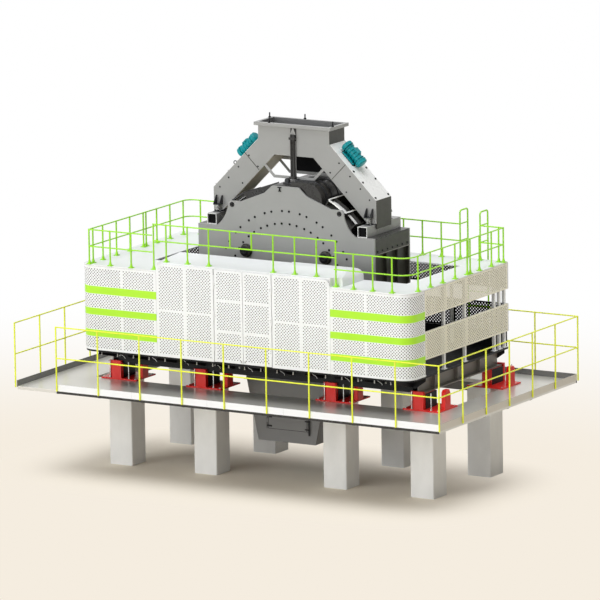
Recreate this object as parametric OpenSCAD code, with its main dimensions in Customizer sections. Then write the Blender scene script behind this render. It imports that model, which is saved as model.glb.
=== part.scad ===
// Impact crusher plant: an arched crusher with a two-leg vibrating feed chute,
// in a perforated enclosure with a railed roof, on a railed platform of concrete columns.
// Millimetres. Origin on the ground at the middle of the platform, +X right, +Y back, +Z up.

/* [Platform] */
// Length between the guard rail lines at the two ends
platform_len = 10000; // [9600:100:13000]
// Walkway between the ends of the base and the guard rail lines
end_walk = 1260; // [1100:10:1500]
// Depth between the guard rail lines at front and back
platform_dep = 5740; // [5500:20:7000]
// Height of the deck surface above the ground
deck_top = 1850; // [1700:10:3200]
// Thickness of the deck plate
deck_plate = 12; // [8:1:20]
// Depth of the ribs under the deck plate
deck_rib = 58; // [40:1:100]
// Clearance of the machine opening beyond the ends of the base
open_end = 310; // [210:10:400]
// Clearance of the machine opening at the front and the back of the base
open_side = 10; // [5:1:40]
// Height of the toe board above the deck
toe_up = 120; // [80:5:200]
// Depth of the toe board below the deck surface
toe_drop = 20; // [10:1:40]
// Thickness of the toe board
toe_th = 10; // [6:1:16]
// Length of the access gap at the front left
access_len = 1000; // [800:10:1200]
// Depth of the beams and joists under the deck
frame_depth = 180; // [120:5:260]
// Width of the beams under the deck
frame_beam = 150; // [100:5:170]
// Thickness of a joist
joist_th = 60; // [30:5:120]
// Depth of a joist at the platform's edge
joist_tip = 8; // [5:1:90]

/* [Guard rails] */
// Height of the top rail above the deck
guard_height = 1335; // [1000:5:1500]
// Height of the middle rail above the deck
guard_mid = 670; // [450:5:800]
// Tube size of the guard rails
guard_tube = 36; // [30:1:60]
// Bays along the front and the back
guard_bays_long = 10; // [8:1:14]
// Bays along each end
guard_bays_end = 6; // [4:1:8]

/* [Columns] */
// Column width along the platform
col_w = 540; // [450:10:600]
// Column depth across the platform
col_d = 535; // [450:5:600]
// Chamfer on the column edges
col_chamfer = 15; // [5:1:40]
// Distance of the outer columns from the ends of the base
col_inset = 160; // [100:10:300]
// Distance of the inner columns from the middle
col_inner = 1540; // [1450:10:1800]
// Distance of the front row behind the front face of the base
col_front_in = 440; // [400:10:500]
// Distance of the back row before the back face of the base
col_back_in = 446; // [400:2:500]

/* [Pedestals] */
// Thickness of the foot plate
ped_plate = 30; // [20:1:40]
// Length of the foot plate
ped_len = 850; // [800:10:900]
// Depth of the foot plate
ped_dep = 760; // [720:10:800]
// Foot plate start left of the column centre
ped_left = 290; // [270:10:310]
// Reach of the foot plate in front of the base
ped_reach = 75; // [60:5:110]
// Width of the stop posts
ped_post = 230; // [180:10:260]
// Depth of the blocks that carry the base
ped_seat = 460; // [300:10:500]
// Rise of the stop posts above the underside of the base
ped_rise = 50; // [20:5:90]
// Rise of the end stops above the underside of the base
ped_stop = 70; // [30:5:120]

/* [Machine base] */
// Height of the base beams above the deck
base_gap = 350; // [300:10:420]
// Depth of the base beams
base_depth = 360; // [320:10:420]
// Front face of the base
base_front_y = -1290; // [-1310:5:-1270]
// Back face of the base
base_back_y = 1940; // [1930:5:1950]
// Width of the base beams
base_beam = 250; // [200:10:280]
// Thickness of flanges, webs and brackets of the base
base_plate = 25; // [16:1:30]
// First stiffener of the end beams behind the front face
stiff_first = 520; // [400:10:600]
// Spacing of the stiffeners
stiff_pitch = 920; // [800:10:1000]
// Distance of the inner cross beams from the middle
cross_x = 1150; // [1120:10:1250]
// Width of the cross beams
cross_w = 200; // [160:10:220]
// Underside of the cross beams above that of the base
cross_up = 60; // [40:5:100]
// Thickness of the floor plates on the base
floor_th = 40; // [25:1:50]

/* [Enclosure] */
// Overhang of the enclosure beyond the ends of the base
enc_over = 160; // [110:10:260]
// Overhang of the enclosure in front of the base
enc_reach = 800; // [760:5:840]
// Overhang of the enclosure behind the base
enc_behind = 10; // [5:1:30]
// Height of the wall panels
enc_height = 1745; // [1700:5:1900]
// Thickness of the wall panels
panel_th = 30; // [24:1:40]
// Radius of the front corners
corner_r = 300; // [200:10:400]
// Length of the corner panels along the side
corner_side = 610; // [500:10:700]
// Spacing of the front posts along the side
side_bay = 849; // [780:1:900]
// Spacing of the three posts at the back corners
trio_pitch = 210; // [150:10:260]
// Height of the open strip under the side panels
side_open = 335; // [200:5:450]
// Bottom of the window band above the floor
window_low = 910; // [850:5:960]
// Top of the window band above the floor
window_high = 1215; // [1180:5:1260]
// Half length of the middle section with the doors
mid_half = 2050; // [1950:10:2120]
// Half width of the doorway
door_half = 683; // [640:1:720]
// Rise of the middle section above the roof
mid_rise = 145; // [100:5:180]
// Thickness of the roof sheets
roof_th = 30; // [20:1:40]
// Part of the aisle left of the crusher that the roof leaves open
roof_share_left = 0.34; // [0.1:0.02:0.8]
// Part of the aisle right of the crusher that the roof leaves open
roof_share_right = 0.64; // [0.1:0.02:0.8]
// Roof opening in front of the crusher
roof_ahead = 727; // [600:1:760]
// Roof opening behind the crusher
roof_behind = 30; // [20:5:200]
// Section of the posts behind the panels
post_w = 60; // [40:5:80]
// Gap between neighbouring panels
panel_gap = 4; // [2:1:8]

/* [Doors] */
// Thickness of a door leaf
leaf_th = 25; // [20:1:25]
// Clearance around a leaf
leaf_gap = 8; // [6:1:12]
// Hinge pin radius
pin_r = 8; // [6:0.5:9]
// Hinge knuckle radius
knuckle_r = 14; // [12:0.5:16]
// Running clearance of the hinge bore
pin_clear = 0.3; // [0.1:0.05:0.5]
// Height of one hinge knuckle
knuckle_h = 60; // [40:5:80]

/* [Hood] */
// Height of the ledge along the hood front, above the roof
hood_ledge = 175; // [150:5:200]
// Depth of that ledge
ledge_dep = 110; // [106:1:120]
// Height of the hood at its back edge
hood_high = 225; // [210:5:320]
// Height of the rounded cover on the right
cap_high = 265; // [230:5:360]
// Distance of the hood from the roof opening
hood_set = 30; // [10:5:80]
// Left end of the rounded cover
cap_left = 700; // [500:10:900]
// Right end of the rounded cover
cap_right = 2270; // [2230:10:2300]

/* [Roof rails] */
// Height of the top rail above the roof
rail_height = 735; // [600:5:1000]
// Height of the middle rail above the roof
rail_mid = 370; // [280:5:480]
// Height of the rail over the hood
rail_centre_height = 955; // [880:5:1200]
// Height of the middle rail over the hood
rail_centre_mid = 595; // [520:5:700]
// First post of the rail over the hood, from the end of the middle section
centre_first = 200; // [180:5:240]
// Last post of that rail, from the other end
centre_last = 351; // [300:1:400]
// Tube size of the roof rails
rail_tube = 34; // [30:1:50]
// Foot flange size
foot_w = 100; // [80:5:120]
// Foot flange thickness
foot_th = 12; // [8:1:16]
// Distance of the left rail from the end wall
rail_left_inset = 240; // [100:10:300]
// Radius of the right front rail corner
rail_corner = 280; // [200:10:340]
// Radius of the left back rail corner
rail_turn = 200; // [150:10:260]
// Height of the ladder hoops above the roof
hoop_height = 1015; // [900:5:1200]
// Left stile of the ladder from the right rail
ladder_inset = 1010; // [900:10:1200]
// Width between the ladder stiles
ladder_w = 470; // [400:10:560]
// Distance of the ladder from the back wall
ladder_reach = 185; // [150:5:220]
// Distance of the ladder stays from the upper and lower edge of the wall
stay_in = 150; // [80:5:220]
// Rung spacing
rung_pitch = 300; // [250:10:350]

/* [Crusher] */
// Half length of the crusher housing
crush_half = 2090; // [2050:10:2150]
// Front face of the crusher
crush_front = -343; // [-380:1:-320]
// Back face of the crusher
crush_back = 1100; // [1050:5:1110]
// Thickness of the housing plates
plate_th = 40; // [25:1:60]
// Height of the crest above the base
crush_height = 3430; // [3300:10:3600]
// Half width of the flat crest
crest_flat = 362; // [300:2:400]
// Drop of the ear from the crest
ear_drop = 390; // [350:5:430]
// Distance of the ear from the crusher's ends
ear_in = 790; // [740:10:840]
// Rounding of the ear
ear_r = 70; // [50:5:90]
// Drop of the shoulders from the crest
shoulder_drop = 920; // [870:10:990]
// Radius of the notch between ear and shoulder
notch_r = 622; // [560:2:680]
// Distance of the curved casing from the crusher's ends
casing_in = 190; // [140:10:240]
// Thickness of the casing
casing_th = 30; // [20:1:40]
// Drop of the casing's top from the crest
casing_drop = 220; // [190:5:270]
// Half width of the housing over the crest
hub_half = 500; // [440:10:760]
// Rounding of that housing
hub_r = 250; // [150:10:300]
// Height of the raised plates on the casing slopes
slope_h = 140; // [80:5:160]
// Height of the ribs round those plates
slope_rib = 260; // [200:5:280]
// Radius of the bosses on the front plate
boss_r = 115; // [90:1:130]
// Distance of the bosses from the middle
boss_x = 940; // [880:10:1000]
// Height of the bosses above the base
boss_up = 2035; // [1980:5:2110]
// Length of the bosses
boss_len = 90; // [40:5:140]
// Size of the square tube beams
tube_w = 220; // [180:5:240]
// Wall of the square tube beams
tube_wall = 12; // [8:1:20]
// Distance of the tube beams from the crusher's ends
tube_in = 305; // [290:5:320]

/* [Feed chute] */
// Front face of the chute
chute_front_y = 20; // [0:5:60]
// Depth of the chute
chute_dep = 620; // [560:10:660]
// Level length of a leg beyond the hopper
leg_run = 1087; // [1050:1:1130]
// Height of the top of the hopper above the crest
hopper_rise = 1160; // [1100:10:1250]
// Length of the upright part of the hopper sides
hopper_side = 285; // [250:5:330]
// Height of the hopper underside above the crest
hopper_clear = 570; // [500:10:620]
// Outer face of the leg ends beyond the middle of the tube beams
leg_out = 145; // [135:5:160]
// Clearance of the legs above the tube beams
leg_clear = 20; // [10:5:60]
// Length of the leg end plates below the legs
leg_skirt = 110; // [40:5:180]
// Height of the spring seats above the lower end of the legs
seat_up = 140; // [100:5:170]
// Leg depth measured level
leg_level = 688; // [640:1:720]
// Plate thickness of the chute
chute_th = 12; // [8:1:16]
// Height of the top flange
flange_h = 70; // [50:5:90]
// Width of the top flange beyond the hopper
flange_w = 65; // [40:5:80]
// Width of the flat bar braces
brace_w = 60; // [40:5:80]
// Height of the brace above the crest
brace_up = 125; // [125:5:180]
// Level part of the brace beyond the hopper's underside
brace_wide = 10; // [0:1:20]
// Inset of the web under the hopper's back
web_in = 10; // [10:1:100]
// Depth of the band under the hopper's back
band_drop = 200; // [100:10:200]
// Radius of the motor body
motor_r = 110; // [90:5:140]
// Length of the motor body
motor_len = 380; // [300:10:420]
// Length of one motor end cap
cap_len = 90; // [60:5:110]
// Motor centre along the slope
motor_along = 437; // [400:1:520]
// Thickness of the motor base
motor_base = 16; // [12:1:50]

/* [Discharge] */
// Front face of the discharge hopper
dis_front = -420; // [-440:5:-400]
// Back face of the discharge hopper
dis_back = 1080; // [1060:5:1100]
// Height of the outlet
dis_low = 680; // [500:10:800]
// Half width at the outlet
dis_low_half = 680; // [560:10:720]
// Half width at the top
dis_top_half = 1010; // [980:5:1040]
// Plate thickness of the discharge hopper
dis_th = 12; // [8:1:20]
// Left edge of the hatch
hatch_left = -450; // [-480:10:-350]
// Hatch length
hatch_len = 950; // [800:10:980]
// Hatch underside above the outlet
hatch_up = 240; // [200:10:300]
// Hatch height
hatch_h = 350; // [280:10:400]
// Lap of the hatch over its opening
hatch_lap = 40; // [25:1:50]
// Distance of the hatch hinge from the hopper face and from the hatch edge
hatch_off = 20; // [20:1:30]

/* [Hidden] */
$fn = 48;
bar_sides = 8;
// Rails are this much slimmer than the posts they run through
slim = 6;
// Straight rails run this far into a bend
bend_lap = 15;
guard_rail = guard_tube - slim;
roof_rail = rail_tube - slim;

deck_th = deck_plate + deck_rib;
base_half = platform_len / 2 - end_walk;
base_bottom = deck_top + base_gap;
enc_half = base_half + enc_over;
enc_front = base_front_y - enc_reach;
enc_back = base_back_y + enc_behind;
deck_open_half = base_half + open_end;
deck_open_front = base_front_y - open_side;
deck_open_back = base_back_y + open_side;
edge_x = platform_len / 2 - guard_tube / 2;
edge_y = platform_dep / 2 - guard_tube / 2;
deck_x = edge_x - toe_th;
deck_y = edge_y - toe_th;
deck_joint = 4;
deck_under = deck_top - deck_th;
bay_long = platform_len / guard_bays_long;
bay_end = platform_dep / guard_bays_end;
col_outer = base_half - col_inset;
col_front = base_front_y + col_front_in;
col_back = base_back_y - col_back_in;
col_xs = [-col_outer, -col_inner, col_inner, col_outer];
col_face_front = col_front - col_d / 2;
col_face_back = col_back + col_d / 2;

base_top = base_bottom + base_depth;
floor_top = base_top + floor_th;
roof_under = floor_top + enc_height;
roof_top = roof_under + roof_th;
mid_top = roof_top + mid_rise;
panel_in = enc_half - panel_th;
floor_edge = 10;
hinge_y = enc_front - 16;
hinge_zs = [floor_top + 320, (floor_top + mid_top) / 2, mid_top - 320];
corner_end = enc_front + corner_side;
last_post = enc_back - 1.5 * post_w;
side_posts = [corner_end, corner_end + side_bay, corner_end + 2 * side_bay,
    last_post - 2 * trio_pitch, last_post - trio_pitch, last_post];
back_bays = 6;
back_posts = [for (i = [1:back_bays - 1]) enc_half * (2 * i / back_bays - 1)];
aisle = enc_half - crush_half;
roof_open_left = -crush_half - roof_share_left * aisle;
roof_open_right = crush_half + roof_share_right * aisle;
roof_open_front = crush_front - roof_ahead;
roof_open_back = crush_back + roof_behind;
hood_back = roof_open_front - hood_set;

crest_z = base_top + crush_height;
ear_z = crest_z - ear_drop;
shoulder_z = crest_z - shoulder_drop;
boss_z = base_top + boss_up;
tube_x = crush_half - tube_in;
casing_r = crush_half - casing_in;
axis_z = crest_z - casing_drop - casing_r;
ear_x = crush_half - ear_in;
tube_top = shoulder_z + tube_w;
hub_top = crest_z + 10;
crest_r = 80;
notch_in = ear_r - 15;
notch_x = ear_x + ear_r + notch_r * cos(asin(notch_in / notch_r));
notch_z = ear_z - ear_r + notch_in;
plate_in_front = crush_front + plate_th;
plate_in_back = crush_back - plate_th;
end_in = crush_half - 100;

chute_back_y = chute_front_y + chute_dep;
chute_mid_y = chute_front_y + chute_dep / 2;
hopper_top = crest_z + hopper_rise;
hopper_bottom = crest_z + hopper_clear;
brace_z = crest_z + brace_up;
leg_end = tube_x + leg_out;
hopper_half = leg_end - leg_run;
leg_low = tube_top + leg_clear;
seat_z = leg_low + seat_up;
slope_sum = hopper_half + hopper_top - hopper_side;
floor_sum = slope_sum - leg_level;
knee = floor_sum - hopper_bottom;
brace_half = knee + brace_wide;
web_half = knee - web_in;
leg_mouth = 560;

rail_front_y = enc_front + 25;
rail_back_y = enc_back - 135;
rail_right_x = enc_half - 30;
rail_left_x = -enc_half + rail_left_inset;
ladder_left = rail_right_x - ladder_inset;
centre_y = enc_front + 90;
centre_end = mid_half + 100;

dis_top = base_bottom + cross_up;
dis_slope = (dis_top_half - dis_low_half) / (dis_top - dis_low);
hatch_low = dis_low + hatch_up;
hatch_hinge = [hatch_left - hatch_off, dis_front - hatch_off];
hatch_lift = 6;
hatch_zs = [hatch_low + 80, hatch_low + hatch_h - 80];

// Points of an arc about a centre, from one angle to another
function arc(cx, cy, r, from, to, steps) =
    [for (i = [0:steps]) [cx + r * cos(from + (to - from) * i / steps),
        cy + r * sin(from + (to - from) * i / steps)]];

// The points of a half outline and their mirror image, as one closed outline
function both_sides(half) =
    concat(half, [for (i = [len(half) - 1:-1:0]) [-half[i].x, half[i].y]]);

// An outline drawn in X and Z, thickened towards +Y from y0
module along_y(y0, depth) {
    translate([0, y0 + depth, 0])
        rotate([90, 0, 0])
            linear_extrude(depth) children();
}

// An outline drawn in Y and Z, thickened towards +X from x0
module along_x(x0, depth) {
    translate([x0, 0, 0])
        rotate([90, 0, 90])
            linear_extrude(depth) children();
}

// A plain block between two corners
module block(low, high) {
    translate(low) cube(high - low);
}

// A few-sided bar between two points, with the size measured across its flats
module bar(from, to, size) {
    v = to - from;
    translate(from)
        rotate([0, acos(v.z / norm(v)), atan2(v.y, v.x)])
            rotate(180 / bar_sides)
                cylinder(h = norm(v), d = size / cos(180 / bar_sides), $fn = bar_sides);
}

// A quarter bend of the same section, a little fuller than the bars that run into it
module elbow(centre, r, turn, size) {
    fuller = 4;
    translate(centre)
        rotate(turn)
            rotate_extrude(angle = 90)
                translate([r, 0])
                    rotate(180 / bar_sides)
                        circle(d = (size + fuller) / cos(180 / bar_sides), $fn = bar_sides);
}

// An upright bar
module upright(x, y, z0, z1, size) {
    bar([x, y, z0], [x, y, z1], size);
}

// An upright on a square foot flange
module footed(x, y, z0, z1) {
    upright(x, y, z0, z1, rail_tube);
    translate([x - foot_w / 2, y - foot_w / 2, z0]) cube([foot_w, foot_w, foot_th]);
}

module mirror_pair() {
    children();
    mirror([1, 0, 0]) children();
}

// An H section in the plane, centred on x, from z0 up
module h_section(width, depth, plate) {
    translate([-width / 2, 0]) square([width, plate]);
    translate([-width / 2, depth - plate]) square([width, plate]);
    translate([-plate / 2, 0]) square([plate, depth]);
}

// Platform

module columns() {
    color("gainsboro")
        for (x = col_xs, y = [col_front, col_back])
            translate([x, y, 0]) linear_extrude(deck_top) column_plan();
}

module column_plan() {
    polygon([[-col_w / 2 + col_chamfer, -col_d / 2], [col_w / 2 - col_chamfer, -col_d / 2],
        [col_w / 2, -col_d / 2 + col_chamfer], [col_w / 2, col_d / 2 - col_chamfer],
        [col_w / 2 - col_chamfer, col_d / 2], [-col_w / 2 + col_chamfer, col_d / 2],
        [-col_w / 2, col_d / 2 - col_chamfer], [-col_w / 2, -col_d / 2 + col_chamfer]]);
}

module corbels() {
    corbel_w = col_w - 4 * col_chamfer;
    color("silver")
        for (x = col_xs) {
            block([x - corbel_w / 2, deck_open_front, deck_under - frame_depth],
                [x + corbel_w / 2, col_face_front, deck_under]);
            block([x - corbel_w / 2, col_face_back, deck_under - frame_depth],
                [x + corbel_w / 2, deck_open_back, deck_under]);
        }
}

module deck_frame() {
    beam_out = deck_open_half + frame_beam;
    color("dimgray") {
        long_frame(deck_open_front, -deck_y, beam_out);
        long_frame(deck_open_back, deck_y, beam_out);
        mirror_pair() {
            block([deck_open_half, deck_open_front + deck_joint, deck_under - frame_depth],
                [beam_out, deck_open_back - deck_joint, deck_under]);
            for (i = [2:guard_bays_end - 2])
                along_y(-platform_dep / 2 + i * bay_end - joist_th / 2, joist_th)
                    joist(beam_out - 1, deck_x);
        }
    }
}

// A long beam at one edge of the opening, with joists out to the platform's edge
module long_frame(inner, outer, half) {
    side = outer > inner ? 1 : -1;
    beam_far = inner + side * frame_beam;
    block([-half, min(inner, beam_far), deck_under - frame_depth],
        [half, max(inner, beam_far), deck_under]);
    for (i = [1:guard_bays_long - 1])
        along_x(-platform_len / 2 + i * bay_long - joist_th / 2, joist_th)
            joist(beam_far - side, outer);
}

// The side view of a joist that tapers from its beam to the platform's edge
module joist(beam, edge) {
    polygon([[beam, deck_under], [beam, deck_under - frame_depth],
        [edge, deck_under - joist_tip], [edge, deck_under]]);
}

module deck() {
    color("lightgray") {
        deck_panel(-deck_x, -deck_y, deck_x, deck_open_front);
        deck_panel(-deck_x, deck_open_back, deck_x, deck_y);
        deck_panel(-deck_x, deck_open_front + deck_joint, -deck_open_half, deck_open_back - deck_joint);
        deck_panel(deck_open_half, deck_open_front + deck_joint, deck_x, deck_open_back - deck_joint);
    }
}

// A deck plate with a rim and ribs underneath
module deck_panel(x0, y0, x1, y1) {
    rim = 40;
    ribs = max(1, round((x1 - x0) / bay_long));
    block([x0, y0, deck_top - deck_plate], [x1, y1, deck_top]);
    difference() {
        block([x0, y0, deck_under], [x1, y1, deck_top - deck_plate]);
        for (i = [0:ribs - 1]) {
            cell = (x1 - x0 - rim) / ribs;
            block([x0 + rim + i * cell, y0 + rim, deck_under - 1],
                [x0 + (i + 1) * cell, y1 - rim, deck_top - deck_plate]);
        }
    }
}

module toe_boards() {
    color("white") {
        toe(-edge_x + access_len, -edge_y, edge_x, -deck_y);
        toe(-edge_x, deck_y, edge_x, edge_y);
        toe(-edge_x, -edge_y, -deck_x, deck_y - panel_gap);
        toe(deck_x, -deck_y + panel_gap, edge_x, deck_y - panel_gap);
    }
}

module toe(x0, y0, x1, y1) {
    block([x0, y0, deck_top - toe_drop], [x1, y1, deck_top + toe_up]);
}

// Guard rails

guard_zs = [deck_top + guard_mid, deck_top + guard_height - guard_tube / 2];

module guard_post(x, y) {
    upright(x, y, deck_top - toe_drop, deck_top + guard_height, guard_tube);
}

module guard_front() {
    y = -platform_dep / 2;
    left = -platform_len / 2 + access_len;
    bays = round((platform_len - access_len) / bay_long);
    pitch = (platform_len - access_len) / bays;
    color("gold") {
        for (i = [0:bays]) guard_post(left + i * pitch, y);
        for (z = guard_zs) bar([left, y, z], [platform_len / 2, y, z], guard_rail);
    }
}

module guard_back() {
    y = platform_dep / 2;
    color("gold") {
        for (i = [0:guard_bays_long]) guard_post(-platform_len / 2 + i * bay_long, y);
        for (z = guard_zs) bar([-platform_len / 2, y, z], [platform_len / 2, y, z], guard_rail);
    }
}

module guard_left() {
    x = -platform_len / 2;
    color("gold") {
        for (i = [0:guard_bays_end - 1]) guard_post(x, -platform_dep / 2 + i * bay_end);
        for (z = guard_zs)
            bar([x, -platform_dep / 2, z], [x, platform_dep / 2 - guard_tube / 2, z], guard_rail);
    }
}

module guard_right() {
    x = platform_len / 2;
    color("gold") {
        for (i = [1:guard_bays_end - 1]) guard_post(x, -platform_dep / 2 + i * bay_end);
        for (z = guard_zs)
            bar([x, -platform_dep / 2 + guard_tube / 2, z],
                [x, platform_dep / 2 - guard_tube / 2, z], guard_rail);
    }
}

// Machine base

ped_clear = 8;

module pedestals() {
    color("crimson")
        for (x = col_xs) {
            rise = x > base_half - ped_len ? ped_stop : -ped_clear;
            translate([x, base_front_y, 0]) pedestal(rise);
            translate([x, base_back_y, 0]) mirror([0, 1, 0]) pedestal(rise);
        }
}

// A support drawn from the column centre in X and the base's outer face in Y:
// a foot plate, a block under the base, a stop post with a wing, and a bevelled side stop
module pedestal(stop_rise) {
    seat = 20;
    wing_w = 80;
    wing_th = 20;
    wing_drop = 10;
    post_in = 250;
    stop_w = 90;
    stop_set = 250;
    stop_dep = 225;
    bevel = 50;
    plate_top = deck_top + ped_plate;
    post_top = base_bottom + ped_rise;
    stop_top = base_bottom + stop_rise;
    right = ped_len - ped_left;
    post_left = post_in - ped_left;
    post_right = post_left + ped_post;
    stop_front = stop_set - ped_reach;
    stop_back = stop_front + stop_dep;
    block([-ped_left, -ped_reach, deck_top], [right, ped_dep - ped_reach, plate_top]);
    block([post_left, seat, plate_top - 1], [post_right, seat + ped_seat, base_bottom]);
    block([post_left, -ped_reach, plate_top - 1], [post_right, -ped_clear, post_top]);
    block([post_left - wing_w, -ped_clear - wing_th, plate_top - 1],
        [post_left + 1, -ped_clear, post_top - wing_drop]);
    along_x(right - stop_w, stop_w)
        polygon([[stop_front, plate_top - 1], [stop_back, plate_top - 1],
            [stop_back, stop_top - 2 * bevel], [stop_back - bevel, stop_top],
            [stop_front + bevel, stop_top], [stop_front, stop_top - bevel]]);
}

module base_front() {
    color("dimgray") {
        base_beam_body(base_front_y, 1);
        bracket_row();
    }
}

// The back beam, and the kick plate under the back wall
module base_back() {
    color("dimgray") {
        base_beam_body(base_back_y, -1);
        block([-panel_in, enc_back - panel_th, floor_top],
            [panel_in, enc_back - floor_edge, floor_top + side_open]);
    }
}

// A long box beam whose outer face is at y, with a bevelled apron plate on that face
module base_beam_body(y, inward) {
    inner = base_half - base_beam;
    apron_half = base_half + 60;
    bevel_x = 240;
    bevel_z = 170;
    apron_low = base_bottom + 90;
    apron_th = 12;
    block([-inner, min(y, y + inward * base_beam), base_bottom],
        [inner, max(y, y + inward * base_beam), base_top]);
    along_y(inward > 0 ? y - apron_th : y, apron_th)
        polygon(both_sides([[apron_half, base_top], [apron_half, apron_low + bevel_z],
            [apron_half - bevel_x, apron_low]]));
}

// Triangular brackets that carry the overhang of the floor in front of the base
module bracket_row() {
    count = 11;
    pitch = 2 * (base_half - 240) / (count - 1);
    reach = base_front_y - enc_front - 2 * panel_th;
    for (i = [0:count - 1])
        along_x(-base_half + 240 + i * pitch - base_plate / 4, base_plate / 2)
            polygon([[base_front_y - 11, base_top], [base_front_y - 11, base_bottom + 110],
                [base_front_y - reach, base_top - 60], [base_front_y - reach, base_top]]);
}

module base_ends() {
    stiff_th = 16;
    web = base_half - base_beam / 2;
    stiffs = floor((base_back_y - base_front_y - stiff_first - stiff_th) / stiff_pitch);
    color("gray")
        mirror_pair() {
            along_y(base_front_y, base_back_y - base_front_y)
                translate([web, base_bottom]) h_section(base_beam, base_depth, base_plate);
            for (i = [0:stiffs])
                translate([web, base_front_y + stiff_first + i * stiff_pitch, base_bottom + base_plate - 1])
                    cube([base_beam / 2 - base_plate, stiff_th, base_depth - 2 * base_plate + 2]);
        }
}

module base_cross() {
    color("gray")
        for (x = [-crush_half + cross_w / 2, -cross_x, cross_x, crush_half - cross_w / 2])
            along_y(base_front_y + base_beam, base_back_y - base_front_y - 2 * base_beam)
                translate([x, base_bottom + cross_up])
                    h_section(cross_w, base_depth - cross_up, base_plate);
}

module base_deck() {
    joint = 4;
    well_x = crush_half + 60;
    well_front = crush_front - 60;
    well_back = crush_back + 60;
    edge = enc_half - floor_edge;
    color("dimgray")
        translate([0, 0, base_top]) {
            linear_extrude(floor_th)
                intersection() {
                    rounded_front(edge, enc_front + floor_edge, corner_r - floor_edge);
                    translate([-edge, enc_front]) square([2 * edge, well_front - enc_front]);
                }
            block([-edge, well_back, 0], [edge, enc_back - floor_edge, floor_th]);
            mirror_pair()
                block([well_x, well_front + joint, 0], [edge, well_back - joint, floor_th]);
        }
}

// A plan with two rounded front corners, open far to the back
module rounded_front(half, front, r) {
    back = enc_back;
    translate([-half, front + r]) square([2 * half, back - front - r]);
    translate([-half + r, front]) square([2 * half - 2 * r, r + 1]);
    for (s = [-1, 1]) translate([s * (half - r), front + r]) circle(r);
}

// Enclosure

// The wall plan of a corner section: front run, round corner and return along the side
module corner_plan() {
    centre = [enc_half - corner_r, enc_front + corner_r];
    start = mid_half + panel_gap;
    polygon(concat([[start, enc_front]],
        arc(centre.x, centre.y, corner_r, -90, 0, 12),
        [[enc_half, corner_end], [panel_in, corner_end]],
        arc(centre.x, centre.y, corner_r - panel_th, 0, -90, 12),
        [[start, enc_front + panel_th]]));
}

module corner_right() {
    color("white")
        translate([0, 0, floor_top])
            linear_extrude(enc_height) corner_plan();
}

module corner_left() {
    mirror([1, 0, 0]) corner_right();
}

module bay_right() {
    color("white") along_y(enc_front, panel_th) bay_outline();
}

module bay_left() {
    mirror([1, 0, 0]) bay_right();
}

// A fixed bay with one rounded top corner
module bay_outline() {
    r = 120;
    left = door_half + leaf_gap;
    translate([left, floor_top]) square([mid_half - left, mid_top - floor_top - r]);
    translate([left, floor_top]) square([mid_half - left - r, mid_top - floor_top]);
    translate([mid_half - r, mid_top - r]) circle(r);
}

module door_right() {
    low = floor_top + 12;
    high = mid_top - 5;
    color("white")
        difference() {
            union() {
                block([5, enc_front, low], [door_half - leaf_gap, enc_front + leaf_th, high]);
                for (z = hinge_zs) {
                    translate([door_half, hinge_y, z - knuckle_h / 2]) cylinder(h = knuckle_h, r = knuckle_r);
                    block([door_half - 60, enc_front - 5, z - knuckle_h / 2],
                        [door_half - knuckle_r / 2, enc_front, z + knuckle_h / 2]);
                }
            }
            for (z = hinge_zs)
                translate([door_half, hinge_y, z - knuckle_h])
                    cylinder(h = 2 * knuckle_h, r = pin_r + pin_clear);
        }
}

module door_left() {
    mirror([1, 0, 0]) door_right();
}

// Posts behind the front panels, with the hinge lugs and pins on the doorway posts
module front_posts() {
    post_y = enc_front + panel_th;
    lug = 6;
    lift = 1;
    color("whitesmoke")
        mirror_pair() {
            for (x = [mid_half, door_half])
                block([x - post_w / 2, post_y, floor_top], [x + post_w / 2, post_y + post_w, roof_under]);
            for (z = hinge_zs) {
                translate([door_half, hinge_y, z - 1.5 * knuckle_h]) cylinder(h = 3 * knuckle_h, r = pin_r);
                for (low = [z - 1.5 * knuckle_h, z + knuckle_h / 2 + lift]) {
                    translate([door_half, hinge_y, low]) cylinder(h = knuckle_h - lift, r = knuckle_r);
                    block([door_half - lug / 2, hinge_y, low],
                        [door_half + lug / 2, post_y + 1, low + knuckle_h - lift]);
                }
            }
        }
}

// The two perforated bands of a wall, above and below the window band
module bands(low, high) {
    block([low.x, low.y, floor_top + side_open], [high.x, high.y, floor_top + window_low]);
    block([low.x, low.y, floor_top + window_high], [high.x, high.y, roof_under]);
}

module side_panels_right() {
    color("white")
        bands([panel_in, corner_end + panel_gap], [enc_half, enc_back - panel_th - panel_gap]);
}

module side_panels_left() {
    mirror([1, 0, 0]) side_panels_right();
}

module back_panels() {
    color("white") bands([-enc_half, enc_back - panel_th], [enc_half, enc_back]);
}

module enclosure_posts() {
    color("whitesmoke") {
        mirror_pair()
            for (y = side_posts)
                block([panel_in - post_w, y - post_w / 2, floor_top], [panel_in, y + post_w / 2, roof_under]);
        for (x = back_posts)
            block([x - post_w / 2, enc_back - panel_th - post_w, floor_top],
                [x + post_w / 2, enc_back - panel_th, roof_under]);
    }
}

module roof() {
    color("white")
        translate([0, 0, roof_under])
            linear_extrude(roof_th) {
                difference() {
                    rounded_front(enc_half, enc_front, corner_r);
                    translate([-enc_half - 1, roof_open_front]) square([2 * enc_half + 2, 2 * enc_half]);
                    translate([-mid_half - panel_gap, enc_front - 1])
                        square([2 * (mid_half + panel_gap), panel_th + panel_gap + 1]);
                }
                translate([-enc_half, roof_open_back]) square([2 * enc_half, enc_back - roof_open_back]);
                side_sheet(-enc_half, roof_open_left);
                side_sheet(roof_open_right, enc_half);
            }
}

module side_sheet(x0, x1) {
    translate([x0, roof_open_front + panel_gap])
        square([x1 - x0, roof_open_back - roof_open_front - 2 * panel_gap]);
}

hood_front = enc_front + panel_th + panel_gap;

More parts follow.
